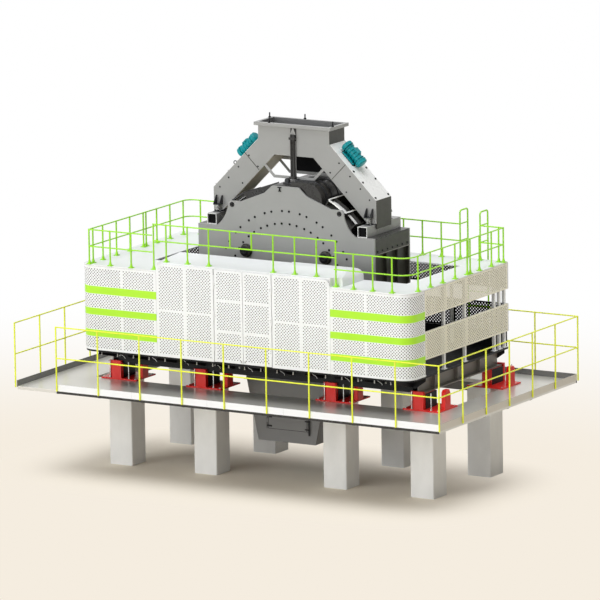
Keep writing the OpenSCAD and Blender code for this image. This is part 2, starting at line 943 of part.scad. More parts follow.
module hood() {
    low_len = cap_left - panel_gap + mid_half;
    color("white") {
        along_x(-mid_half, low_len) hood_section();
        along_x(cap_left, mid_half - cap_left)
            intersection() {
                hood_section();
                translate([hood_front, roof_top]) square([ledge_dep, hood_high]);
            }
        hood_cap();
    }
}

// The hood's section: a ledge along the front, then a slope up to the rounded back edge
module hood_section() {
    edge_r = 6;
    back_r = 40;
    depth = hood_back - hood_front;
    translate([hood_front, roof_top])
        polygon(concat([[0, 0], [0, hood_ledge - edge_r]],
            arc(edge_r, hood_ledge - edge_r, edge_r, 180, 90, 4),
            [[ledge_dep, hood_ledge]],
            arc(depth - back_r, hood_high - back_r, back_r, 90, 0, 6),
            [[depth, 0]]));
}

// The rounded cover at the right end of the hood, behind the ledge
module hood_cap() {
    back_r = 150;
    end_r = 180;
    front = hood_front + ledge_dep + panel_gap;
    depth = hood_back - front;
    intersection() {
        along_x(cap_left, cap_right - cap_left)
            translate([front, roof_top])
                polygon(concat([[0, 0], [0, hood_ledge], [depth / 2, cap_high]],
                    arc(depth - back_r, cap_high - back_r, back_r, 90, 0, 10),
                    [[depth, 0]]));
        along_y(front - 1, depth + 2)
            polygon(concat([[cap_left, roof_top], [cap_left, roof_top + cap_high]],
                arc(cap_right - end_r, roof_top + cap_high - end_r, end_r, 90, 0, 10),
                [[cap_right, roof_top]]));
    }
}

// Roof rails

rail_zs = [roof_top + rail_mid, roof_top + rail_height - rail_tube / 2];
centre_zs = [roof_top + rail_centre_mid, roof_top + rail_centre_height - rail_tube / 2];

module rail_post(x, y) {
    footed(x, y, roof_top, roof_top + rail_height);
}

module rail_front_left() {
    bays = 3;
    pitch = (-centre_end - rail_left_x) / bays;
    color("yellowgreen") {
        for (i = [1:bays - 1]) rail_post(rail_left_x + i * pitch, rail_front_y);
        for (z = rail_zs)
            bar([rail_left_x + rail_tube / 2, rail_front_y, z], [-centre_end, rail_front_y, z], roof_rail);
    }
}

module rail_left() {
    bays = 7;
    last = rail_back_y - rail_turn;
    pitch = (last - rail_front_y) / bays;
    color("yellowgreen") {
        for (i = [0:bays - 1]) rail_post(rail_left_x, rail_front_y + i * pitch);
        rail_post(rail_left_x, rail_front_y + 3.5 * pitch);
        for (z = rail_zs)
            bar([rail_left_x, rail_front_y, z], [rail_left_x, last - 1, z], roof_rail);
    }
}

module rail_front_right() {
    bays = 3;
    last = rail_right_x - rail_corner;
    pitch = (last - foot_w - centre_end) / bays;
    color("yellowgreen") {
        for (i = [1:bays]) rail_post(centre_end + i * pitch, rail_front_y);
        for (z = rail_zs) {
            bar([centre_end, rail_front_y, z], [last + bend_lap, rail_front_y, z], roof_rail);
            elbow([last, rail_front_y + rail_corner, z], rail_corner, -90, roof_rail);
        }
    }
}

module rail_right() {
    bays = 7;
    start = rail_front_y + rail_corner;
    first = start + foot_w;
    pitch = (rail_back_y - first) / bays;
    color("yellowgreen") {
        for (i = [0:bays]) rail_post(rail_right_x, first + i * pitch);
        rail_post(rail_right_x, first + 4 * pitch + 1.2 * foot_w);
        for (z = rail_zs)
            bar([rail_right_x, start + 1, z], [rail_right_x, rail_back_y, z], roof_rail);
    }
}

module rail_back() {
    bays = 14;
    from = rail_left_x + rail_turn;
    pitch = (ladder_left - from - foot_w) / bays;
    color("yellowgreen") {
        for (i = [0:bays - 1]) rail_post(from + foot_w + i * pitch, rail_back_y);
        rail_post(rail_right_x - foot_w - 10, rail_back_y);
        for (z = rail_zs) {
            elbow([from, rail_back_y - rail_turn, z], rail_turn, 90, roof_rail);
            bar([from - bend_lap, rail_back_y, z], [ladder_left - rail_tube / 2, rail_back_y, z], roof_rail);
            bar([ladder_left + ladder_w + rail_tube / 2, rail_back_y, z],
                [rail_right_x - rail_tube / 2, rail_back_y, z], roof_rail);
        }
    }
}

module rail_centre() {
    bays = 7;
    first = -mid_half + centre_first;
    pitch = (mid_half - centre_last - first) / bays;
    top = roof_top + rail_centre_height;
    color("yellowgreen") {
        for (s = [-1, 1]) footed(s * centre_end, centre_y, roof_top, top);
        for (i = [0:bays])
            if (i == 3 || i == 4)
                upright(first + i * pitch, centre_y, roof_top + rail_centre_mid, top, rail_tube);
            else
                footed(first + i * pitch, centre_y, roof_top + hood_ledge, top);
        for (z = centre_zs)
            bar([-centre_end, centre_y, z], [centre_end, centre_y, z], roof_rail);
    }
}

module ladder() {
    stile_y = enc_back + ladder_reach;
    hoop_z = roof_top + hoop_height - rail_tube / 2;
    color("yellowgreen") {
        for (x = [ladder_left, ladder_left + ladder_w]) {
            upright(x, stile_y, deck_top, hoop_z + rail_tube / 2, rail_tube);
            bar([x, rail_back_y, hoop_z], [x, stile_y, hoop_z], roof_rail);
            footed(x, rail_back_y, roof_top, hoop_z + rail_tube / 2);
            for (z = [floor_top + side_open + stay_in, roof_under - stay_in])
                bar([x, enc_back, z], [x, stile_y, z], roof_rail);
        }
        for (z = [deck_top + rung_pitch:rung_pitch:roof_top])
            bar([ladder_left, stile_y, z], [ladder_left + ladder_w, stile_y, z], rail_tube / 2);
    }
}

// Crusher

// The arched outline of a housing plate, right half from the crest down
function plate_half() =
    concat([[0, crest_z]],
        arc(crest_flat - crest_r, crest_z - crest_r, crest_r, 90, 35, 5),
        [[crest_flat + 140, crest_z - 170], [ear_x - 230, ear_z]],
        arc(ear_x, ear_z - ear_r, ear_r, 90, 0, 5),
        arc(notch_x, notch_z, notch_r, 180 + asin(notch_in / notch_r),
            180 + asin((notch_z - shoulder_z) / notch_r), 8),
        [[crush_half, shoulder_z], [crush_half, base_top]]);

module crusher_plate(y0) {
    hole_r = 36;
    along_y(y0, plate_th)
        difference() {
            polygon(both_sides(plate_half()));
            for (s = [-1, 1]) translate([s * (ear_x - 30), ear_z - ear_r - 8]) circle(hole_r);
        }
}

module crusher_front() {
    color("darkgray") crusher_plate(crush_front);
}

module crusher_back() {
    color("darkgray") crusher_plate(plate_in_back);
}

module crusher_ends() {
    band = 320;
    wall = 30;
    rib = 30;
    ribs = 4;
    low = base_top;
    high = shoulder_z - casing_th;
    pitch = (plate_in_back - plate_in_front - rib) / (ribs - 1);
    color("dimgray")
        mirror_pair() {
            block([end_in, plate_in_front, low], [end_in + wall, plate_in_back, high]);
            block([end_in + wall - 1, plate_in_front, high - band], [crush_half, plate_in_back, high]);
            block([end_in + wall - 1, plate_in_front, low], [crush_half, plate_in_back, low + band / 4]);
            for (i = [0:ribs - 1])
                block([end_in + wall - 1, plate_in_front + i * pitch, low],
                    [crush_half, plate_in_front + i * pitch + rib, high - band + 1]);
        }
}

// The curved casing with its shoulders, the housing over the crest, an inlet under each leg
// and raised plates with ribs on the slopes
module crusher_casing() {
    depth = plate_in_back - plate_in_front;
    inlet_from = 46;
    inlet_to = 58;
    tube_clear = 70;
    slope_from = acos((tube_x - tube_w / 2 - tube_clear) / (casing_r + slope_rib));
    slope_to = 62.5;
    wall_th = 30;
    lap = 50;
    front_wall = chute_front_y - lap;
    back_wall = chute_back_y + lap;
    color("gray")
        difference() {
            union() {
                along_y(plate_in_front, depth) casing_section();
                along_y(plate_in_front, depth) hub_section();
                mirror_pair() {
                    for (a = [slope_from, slope_from + 8.5, slope_to]) cross_rib(a, depth);
                    slope_band(plate_in_front, front_wall - 1, slope_h, slope_from, slope_to);
                    slope_band(back_wall + 1, plate_in_back, slope_h, slope_from, slope_to);
                    slope_band(front_wall - wall_th, front_wall, slope_rib, slope_from, slope_to);
                    slope_band(back_wall, back_wall + wall_th, slope_rib, slope_from, slope_to);
                }
            }
            mirror_pair()
                translate([0, 0, axis_z])
                    rotate([0, -inlet_to, 0])
                        block([casing_r - 100, chute_front_y, -casing_r * sin(inlet_to - inlet_from)],
                            [casing_r + slope_rib + 40, chute_back_y, 0]);
        }
}

// The housing over the crest, down to the casing
module hub_section() {
    sink = casing_r - 5;
    edge = acos(hub_half / sink);
    polygon(concat(arc(hub_half - hub_r, hub_top - hub_r, hub_r, 0, 90, 8),
        arc(hub_r - hub_half, hub_top - hub_r, hub_r, 90, 180, 8),
        arc(0, axis_z, sink, 180 - edge, edge, 12)));
}

module casing_section() {
    difference() {
        translate([0, axis_z]) circle(casing_r, $fn = 96);
        translate([0, axis_z]) circle(casing_r - casing_th, $fn = 96);
        translate([-2 * casing_r, axis_z - 2 * casing_r])
            square([4 * casing_r, 2 * casing_r + shoulder_z - casing_th - axis_z]);
    }
    root = sqrt(casing_r * casing_r - (shoulder_z - axis_z) * (shoulder_z - axis_z)) - 10;
    for (x0 = [-crush_half, root])
        translate([x0, shoulder_z - casing_th]) square([crush_half - root, casing_th]);
}

// A straight rib across the casing at an angle up from level
module cross_rib(angle, depth) {
    half_th = 10;
    translate([0, plate_in_front, axis_z])
        rotate([0, -angle, 0])
            block([casing_r - 5, 0, -half_th], [casing_r + slope_rib, depth, half_th]);
}

// A band on the casing's slope, of some height, between two places in Y
module slope_band(near, far, height, from, to) {
    along_y(near, far - near)
        translate([0, axis_z])
            polygon(concat(arc(0, 0, casing_r - 5, from, to, 8),
                arc(0, 0, casing_r + height, to, from, 8)));
}

module bosses() {
    color("dimgray")
        for (s = [-1, 1])
            translate([s * boss_x, crush_front, boss_z])
                rotate([90, 0, 0]) {
                    cylinder(h = boss_len, r = boss_r);
                    cylinder(h = boss_len / 3, r = boss_r + 25);
                }
}

// A pair of small rollers on a plate over the crest
module crest_gear() {
    plate_half = 200;
    plate_h = 20;
    roller_r = 50;
    roller_x = 120;
    color("dimgray") {
        block([-plate_half, -90, hub_top], [plate_half, 30, hub_top + plate_h]);
        for (s = [-1, 1])
            translate([s * roller_x, 0, hub_top + plate_h + roller_r - 10])
                rotate([90, 0, 0]) cylinder(h = 80, r = roller_r);
    }
}

module tube_beams() {
    color("silver")
        mirror_pair()
            along_y(plate_in_front, plate_in_back - plate_in_front)
                translate([tube_x - tube_w / 2, shoulder_z])
                    difference() {
                        square(tube_w);
                        translate([tube_wall, tube_wall]) square(tube_w - 2 * tube_wall);
                    }
}

// Springs on the tube beams with gusset brackets on the leg faces
module spring_mounts() {
    pad = 150;
    pad_th = 14;
    spring_r = 45;
    gusset_h = 170;
    tip = 40;
    color("dimgray")
        mirror_pair()
            for (side = [-1, 1]) {
                face = side < 0 ? chute_front_y : chute_back_y;
                low = min(face, face + side * pad);
                block([tube_x - pad / 2, low, tube_top], [tube_x + pad / 2, low + pad, tube_top + pad_th]);
                translate([tube_x, low + pad / 2, tube_top]) cylinder(h = seat_z - tube_top, r = spring_r);
                block([tube_x - pad / 2, low, seat_z - pad_th], [tube_x + pad / 2, low + pad, seat_z]);
                for (x = [tube_x - pad / 2, tube_x + pad / 2 - pad_th])
                    along_x(x, pad_th)
                        polygon([[face, seat_z - 1], [face + side * pad, seat_z - 1],
                            [face + side * tip, seat_z + gusset_h], [face, seat_z + gusset_h]]);
            }
}

// Feed chute

// The outline of the hopper with its two legs, right half from the top middle
function chute_half(under) =
    concat([[0, hopper_top], [hopper_half, hopper_top], [hopper_half, hopper_top - hopper_side],
        [leg_end, slope_sum - leg_end], [leg_end, leg_low], [floor_sum - leg_low, leg_low]], under);

module chute_front() {
    under = [[knee, hopper_bottom], [0, hopper_bottom]];
    color("darkgray") along_y(chute_front_y, chute_th) polygon(both_sides(chute_half(under)));
}

// The back face has a band between the legs and a web down to the brace
module chute_back() {
    band = hopper_bottom - band_drop;
    web_low = brace_z + brace_w / 2;
    under = [[floor_sum - band, band], [web_half, band], [web_half, web_low], [0, web_low]];
    color("darkgray")
        along_y(chute_back_y - chute_th, chute_th) polygon(both_sides(chute_half(under)));
}

// Upright hopper sides, sloping leg covers and leg ends, between the two faces
module chute_walls() {
    t = chute_th;
    slant = t * sqrt(2);
    color("gray")
        mirror_pair()
            along_y(chute_front_y + t, chute_dep - 2 * t)
                polygon([[hopper_half, hopper_top], [hopper_half, hopper_top - hopper_side],
                    [leg_end, slope_sum - leg_end], [leg_end, leg_low - leg_skirt],
                    [leg_end - t, leg_low - leg_skirt], [leg_end - t, slope_sum - leg_end - slant + t],
                    [hopper_half - t, hopper_top - hopper_side - slant + t], [hopper_half - t, hopper_top]]);
}

// The flat hopper bottom and the leg floors, which stop short to leave the leg mouths open
module chute_floor() {
    t = chute_th;
    slant = t * sqrt(2);
    end = floor_sum - leg_low - leg_mouth;
    half = [[0, hopper_bottom + t], [knee + slant - t, hopper_bottom + t], [end + slant, floor_sum - end],
        [end, floor_sum - end], [knee, hopper_bottom], [0, hopper_bottom]];
    color("gray")
        along_y(chute_front_y + t, chute_dep - 2 * t) polygon(both_sides(half));
}

module chute_flange() {
    out_x = hopper_half + flange_w;
    color("darkgray")
        difference() {
            block([-out_x, chute_front_y - flange_w, hopper_top],
                [out_x, chute_back_y + flange_w, hopper_top + flange_h]);
            block([-hopper_half + chute_th, chute_front_y + chute_th, hopper_top - 1],
                [hopper_half - chute_th, chute_back_y - chute_th, hopper_top + flange_h + 1]);
        }
}

// A point moved up the slope until it meets the plane of the leg floors
function to_leg(p) = p + [1, 1] * (floor_sum - p.x - p.y) / 2;

// Bent flat bars under the hopper, between the legs, in line with the two faces
module chute_braces() {
    h = brace_w / 2;
    mitre = h * tan(22.5);
    inner = [brace_half - mitre, brace_z + h];
    outer = [brace_half + mitre, brace_z - h];
    color("darkgray")
        for (y = [chute_front_y, chute_back_y - chute_th])
            along_y(y, chute_th) polygon(both_sides([inner, to_leg(inner), to_leg(outer), outer]));
}

// An upright strut on the chute front with two rods between its brackets
module chute_strut() {
    strut_w = 130;
    strut_th = 14;
    rod_r = 16;
    rod_x = 30;
    rod_off = 60;
    bracket_h = 50;
    reach = 30;
    rod_in = 10;
    low = brace_z + brace_w / 2 - bracket_h;
    high = hopper_top - 240;
    color("silver") {
        block([-strut_w / 2, chute_front_y - strut_th, low], [strut_w / 2, chute_front_y, hopper_top]);
        for (z = [low, high])
            block([-strut_w / 2, chute_front_y - rod_off - reach, z],
                [strut_w / 2, chute_front_y - strut_th + 1, z + bracket_h]);
        for (x = [-rod_x, rod_x])
            translate([x, chute_front_y - rod_off, low + rod_in])
                cylinder(h = high + bracket_h + 60 - low - rod_in, r = rod_r);
    }
}

// Places a child on the right leg cover: X down the slope, Z out of it
module on_slope() {
    translate([hopper_half, chute_mid_y, hopper_top - hopper_side]) rotate([0, 45, 0]) children();
}

module motor_bases() {
    half_len = motor_len / 2;
    half_w = motor_r + 30;
    color("dimgray")
        mirror_pair()
            on_slope()
                block([motor_along - half_len, -half_w, 0], [motor_along + half_len, half_w, motor_base]);
}

// Vibration motors: a ribbed body between two larger end caps
module motors() {
    rib_w = 16;
    ribs = 5;
    foot = motor_r + 10;
    color("darkcyan")
        mirror_pair()
            on_slope()
                translate([motor_along, 0, motor_base]) {
                    translate([-motor_len / 2, 0, foot])
                        rotate([0, 90, 0]) cylinder(h = motor_len, r = motor_r);
                    for (x = [-motor_len / 2 - cap_len, motor_len / 2])
                        translate([x, 0, foot + 25])
                            rotate([0, 90, 0]) cylinder(h = cap_len, r = motor_r + 25);
                    for (i = [0:ribs - 1])
                        translate([-motor_len / 2 + (i + 0.5) * motor_len / ribs - rib_w / 2, 0, foot])
                            rotate([0, 90, 0]) cylinder(h = rib_w, r = motor_r + 10);
                    block([-motor_len / 2, -motor_r, 0], [motor_len / 2, motor_r, 40]);
                }
}

// Discharge hopper

function dis_half_at(z) = dis_low_half + dis_slope * (z - dis_low);

module dis_face(y0) {
    along_y(y0, dis_th)
        difference() {
            polygon(both_sides([[dis_low_half, dis_low], [dis_top_half, dis_top]]));
            children();
        }
}

// The front face, with the fixed knuckles and pins of the hatch hinge
module discharge_front() {
    color("gray") {
        dis_face(dis_front)
            translate([hatch_left + hatch_lap, hatch_low + hatch_lap])
                square([hatch_len - 2 * hatch_lap, hatch_h - 2 * hatch_lap]);
        for (z = hatch_zs)
            translate([hatch_hinge.x, hatch_hinge.y, z - knuckle_h]) {
                cylinder(h = 2 * knuckle_h, r = pin_r);
                for (low = [0, 1.5 * knuckle_h]) {
                    translate([0, 0, low]) cylinder(h = knuckle_h / 2, r = knuckle_r);
                    translate([-knuckle_r, 0, low]) cube([knuckle_r, hatch_off + 1, knuckle_h / 2]);
                }
            }
    }
}

// The inspection hatch, hinged at its left edge
module hatch() {
    half = knuckle_h / 2 - 1;
    front = dis_front - hatch_lift - dis_th;
    color("gray")
        difference() {
            union() {
                block([hatch_left, front, hatch_low],
                    [hatch_left + hatch_len, dis_front - hatch_lift, hatch_low + hatch_h]);
                for (z = hatch_zs) {
                    translate([hatch_hinge.x, hatch_hinge.y, z - half])
                        cylinder(h = 2 * half, r = knuckle_r);
                    block([hatch_hinge.x, front, z - half],
                        [hatch_left + 1, dis_front - hatch_lift, z + half]);
                }
            }
            for (z = hatch_zs)
                translate([hatch_hinge.x, hatch_hinge.y, z - knuckle_h])
                    cylinder(h = 2 * knuckle_h, r = pin_r + pin_clear);
        }
}

module discharge_back() {
    color("gray") dis_face(dis_back - dis_th);
}

// Sloping sides with a rim that hangs under the inner cross beams
module discharge_sides() {
    slant = dis_th * sqrt(1 + dis_slope * dis_slope);
    rim_low = dis_top - dis_th;
    color("gray")
        mirror_pair()
            along_y(dis_front + dis_th, dis_back - dis_front - 2 * dis_th)
                polygon([[dis_low_half, dis_low], [dis_half_at(rim_low), rim_low],
                    [cross_x, rim_low], [cross_x, dis_top],
                    [dis_top_half - slant, dis_top], [dis_low_half - slant, dis_low]]);
}

columns();
corbels();
deck_frame();
deck();
toe_boards();
guard_front();
guard_back();
guard_left();
guard_right();
pedestals();
base_front();
base_back();
base_ends();
base_cross();
base_deck();
corner_left();
corner_right();
bay_left();
bay_right();
door_left();
door_right();
front_posts();
side_panels_left();
side_panels_right();
back_panels();
enclosure_posts();
roof();
hood();
rail_front_left();
rail_front_right();
rail_centre();
rail_left();
rail_right();
rail_back();
ladder();
crusher_front();
crusher_back();
crusher_ends();
crusher_casing();
bosses();
crest_gear();
tube_beams();
spring_mounts();
chute_front();
chute_back();
chute_walls();
chute_floor();
chute_flange();
chute_braces();
chute_strut();
motor_bases();
motors();
discharge_front();
discharge_back();
discharge_sides();
hatch();
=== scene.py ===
"""Looks of an impact crusher plant: paint, perforated sheets, round rails, fasteners, motors and springs.

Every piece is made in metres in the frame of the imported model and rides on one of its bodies.
"""
import math

import bmesh
import bpy
from mathutils import Matrix, Vector


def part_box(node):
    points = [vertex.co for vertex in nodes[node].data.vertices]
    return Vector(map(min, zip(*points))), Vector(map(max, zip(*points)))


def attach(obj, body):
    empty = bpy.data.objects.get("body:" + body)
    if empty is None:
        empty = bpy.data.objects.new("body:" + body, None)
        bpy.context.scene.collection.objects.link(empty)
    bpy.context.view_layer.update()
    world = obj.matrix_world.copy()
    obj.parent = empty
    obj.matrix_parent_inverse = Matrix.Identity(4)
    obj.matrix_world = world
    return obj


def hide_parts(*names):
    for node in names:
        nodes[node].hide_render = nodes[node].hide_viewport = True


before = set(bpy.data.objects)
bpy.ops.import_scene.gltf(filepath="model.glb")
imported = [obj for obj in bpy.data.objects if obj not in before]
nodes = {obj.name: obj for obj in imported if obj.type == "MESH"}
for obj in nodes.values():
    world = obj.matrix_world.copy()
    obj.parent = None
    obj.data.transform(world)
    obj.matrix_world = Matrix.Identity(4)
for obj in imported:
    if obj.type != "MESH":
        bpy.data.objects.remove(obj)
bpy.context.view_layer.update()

X = Vector((1, 0, 0))
Y = Vector((0, 1, 0))
Z = Vector((0, 0, 1))


# Materials

NOISE_LOW, NOISE_HIGH = 0.3, 0.7


def linear(colour):
    """A colour as it shows on screen, turned into the linear values that shaders take."""
    return [c / 12.92 if c <= 0.04045 else ((c + 0.055) / 1.055) ** 2.4 for c in colour]


def scaled(colour, factor):
    return [min(1.0, c * factor) for c in colour] + [1.0]


class Graph:
    """A material's node tree, with short calls to add nodes and join them."""

    def __init__(self, name):
        self.material = bpy.data.materials.new(name)
        self.material.use_nodes = True
        self.tree = self.material.node_tree
        self.shader = self.tree.nodes["Principled BSDF"]
        self.place = self.node("ShaderNodeTexCoord").outputs["Object"]

    def node(self, kind, **settings):
        made = self.tree.nodes.new(kind)
        for key, value in settings.items():
            setattr(made, key, value)
        return made

    def join(self, source, target):
        self.tree.links.new(source, target)

    def noise(self, scale, detail=3.0, stretch=None):
        """Noise over the surface, with an optional stretch along the axes."""
        noise = self.node("ShaderNodeTexNoise")
        noise.inputs["Scale"].default_value = scale
        noise.inputs["Detail"].default_value = detail
        source = self.place
        if stretch:
            mapping = self.node("ShaderNodeMapping")
            mapping.inputs["Scale"].default_value = stretch
            self.join(source, mapping.inputs["Vector"])
            source = mapping.outputs["Vector"]
        self.join(source, noise.inputs["Vector"])
        return noise.outputs["Fac"]

    def ramp(self, source, stops):
        ramp = self.node("ShaderNodeValToRGB")
        elements = ramp.color_ramp.elements
        for element, (position, colour) in zip(elements, stops):
            element.position = position
            element.color = colour
        self.join(source, ramp.inputs["Fac"])
        return ramp.outputs["Color"]

    def spread(self, source, low, high):
        """The middle of a noise, spread between two values."""
        spread = self.node("ShaderNodeMapRange")
        spread.inputs["From Min"].default_value = NOISE_LOW
        spread.inputs["From Max"].default_value = NOISE_HIGH
        spread.inputs["To Min"].default_value = low
        spread.inputs["To Max"].default_value = high
        self.join(source, spread.inputs["Value"])
        return spread.outputs["Result"]

    def bump(self, source, distance, strength=1.0):
        bump = self.node("ShaderNodeBump")
        bump.inputs["Distance"].default_value = distance
        bump.inputs["Strength"].default_value = strength
        self.join(source, bump.inputs["Height"])
        self.join(bump.outputs["Normal"], self.shader.inputs["Normal"])


def paint(name, colour, roughness=0.4, mottle=0.05, cloud=0.8, stretch=None, metallic=0.0, specular=0.5,
          uneven=0.06):
    """Sprayed paint: a cloudy tone, an uneven gloss and a fine orange-peel bump."""
    graph = Graph(name)
    tone = linear(colour)
    stops = [(NOISE_LOW, scaled(tone, 1 - mottle)), (NOISE_HIGH, scaled(tone, 1 + mottle))]
    graph.join(graph.ramp(graph.noise(cloud, 5.0, stretch), stops), graph.shader.inputs["Base Color"])
    gloss = graph.spread(graph.noise(9.0, 4.0, stretch), roughness - uneven, roughness + uneven)
    graph.join(gloss, graph.shader.inputs["Roughness"])
    graph.shader.inputs["Metallic"].default_value = metallic
    graph.shader.inputs["Specular IOR Level"].default_value = specular
    graph.bump(graph.noise(160.0, 2.0), 0.0006, 0.25)
    return graph.material


def cast_concrete(name, colour):
    """Smooth cast concrete with cloudy tone, faint lifts and small pores."""
    graph = Graph(name)
    tone = linear(colour)
    stops = [(0.25, scaled(tone, 0.88)), (0.75, scaled(tone, 1.06))]
    graph.join(graph.ramp(graph.noise(2.2, 8.0, (1, 1, 0.5)), stops), graph.shader.inputs["Base Color"])
    graph.join(graph.spread(graph.noise(14.0, 4.0), 0.62, 0.8), graph.shader.inputs["Roughness"])
    graph.bump(graph.noise(70.0, 6.0), 0.002, 0.35)
    return graph.material


WHITE = paint("white_paint", (0.945, 0.95, 0.96), 0.38, 0.02)
# A warmer, duller copy of the white for the side walls: painted shade of the sides that face away from the
# key.
SIDE_SHADE_WHITE = paint("side_white_painted_shade", (0.945, 0.93, 0.86), 0.42, 0.025)
ROOF_WHITE = paint("roof_white", (0.93, 0.935, 0.94), 0.45, 0.025)
LIME = paint("lime_stripe", (0.70, 0.94, 0.15), 0.36, 0.03)
GREEN = paint("green_paint", (0.63, 0.90, 0.12), 0.30, 0.05, 2.0)
YELLOW = paint("yellow_paint", (0.92, 0.95, 0.20), 0.30, 0.04, 2.0)
RED = paint("red_paint", (0.90, 0.11, 0.07), 0.34, 0.06, 2.0)
GREY = paint("machine_grey", (0.615, 0.615, 0.61), 0.36, 0.05, 1.1)
# A much darker copy of the machine grey: painted shade on the crusher's end walls and the chute's walls and
# floor; the bosses and the leg seam lines take it too.
SHADE_GREY = paint("shade_and_seam_grey", (0.265, 0.26, 0.235), 0.40, 0.07, 1.1, specular=0.3)
CASING = paint("casing_dark", (0.20, 0.195, 0.19), 0.30, 0.12, 1.3, specular=0.35)
HOPPER_GREY = paint("hopper_grey", (0.47, 0.47, 0.47), 0.42, 0.06, 1.1)
BEAM_GREY = paint("beam_grey", (0.50, 0.48, 0.46), 0.38, 0.06, 1.3)
DARK = paint("dark_steel", (0.115, 0.12, 0.135), 0.38, 0.12, 1.3)
# Black paint for fasteners, caps and fittings; on the base's front and underside and the pedestal seats it is
# painted shade under the enclosure.
BLACK_AND_SHADE = paint("black_paint_and_shade", (0.07, 0.07, 0.08), 0.42, 0.15, 2.0, specular=0.2)
# Near black: painted shade of the enclosure's inside, on the sheets behind the holes and the inner skins, and
# of the chute's hollows.
SHADE_LINER = paint("dark_shade_paint", (0.09, 0.09, 0.095), 0.8, 0.15, 3.0, specular=0.05)
# Pale beige: painted bounce light on the undersides of the legs.
BOUNCE_PAINT = paint("painted_bounce_light", (0.82, 0.79, 0.70), 0.5, 0.04)
# A dull beige: painted shade on the right end of the toe boards.
TOE_SHADE = paint("toe_painted_shade", (0.80, 0.775, 0.73), 0.4, 0.04)
ZINC = paint("zinc_fastener", (0.74, 0.74, 0.73), 0.28, 0.08, 6.0, metallic=0.85)
# Near white: painted reflection on the leg covers, slope plates and right slope edges, a painted highlight on
# the tube rims, and the real colour of the thin cables.
PALE_AND_SHEEN = paint("pale_paint_and_sheen", (0.95, 0.95, 0.945), 0.30, 0.025)
TEAL = paint("teal_paint", (0.0, 0.54, 0.57), 0.34, 0.08, 3.0, specular=0.25)
DECK = paint("deck_paint", (0.84, 0.83, 0.805), 0.32, 0.05, 0.9, (0.35, 1.6, 1.0), metallic=0.45,
             uneven=0.012)
CONCRETE = cast_concrete("cast_concrete", (0.925, 0.925, 0.92))


# Shapes

def ring(radius, sides, turn=0.0):
    step = 2 * math.pi / sides
    return [(radius * math.cos(turn + i * step), radius * math.sin(turn + i * step)) for i in range(sides)]


def arc(cx, cy, radius, start, end, steps):
    """Points of an arc about a centre, between two angles in degrees."""
    angles = [math.radians(start + (end - start) * i / steps) for i in range(steps + 1)]
    return [(cx + radius * math.cos(a), cy + radius * math.sin(a)) for a in angles]


def lattice_cell(u0, u1, v0, v1):
    """The eight points round a cell, from its lower left corner, counter-clockwise."""
    um = (u0 + u1) / 2
    vm = (v0 + v1) / 2
    return [(u0, v0), (um, v0), (u1, v0), (u1, vm), (u1, v1), (um, v1), (u0, v1), (u0, vm)]


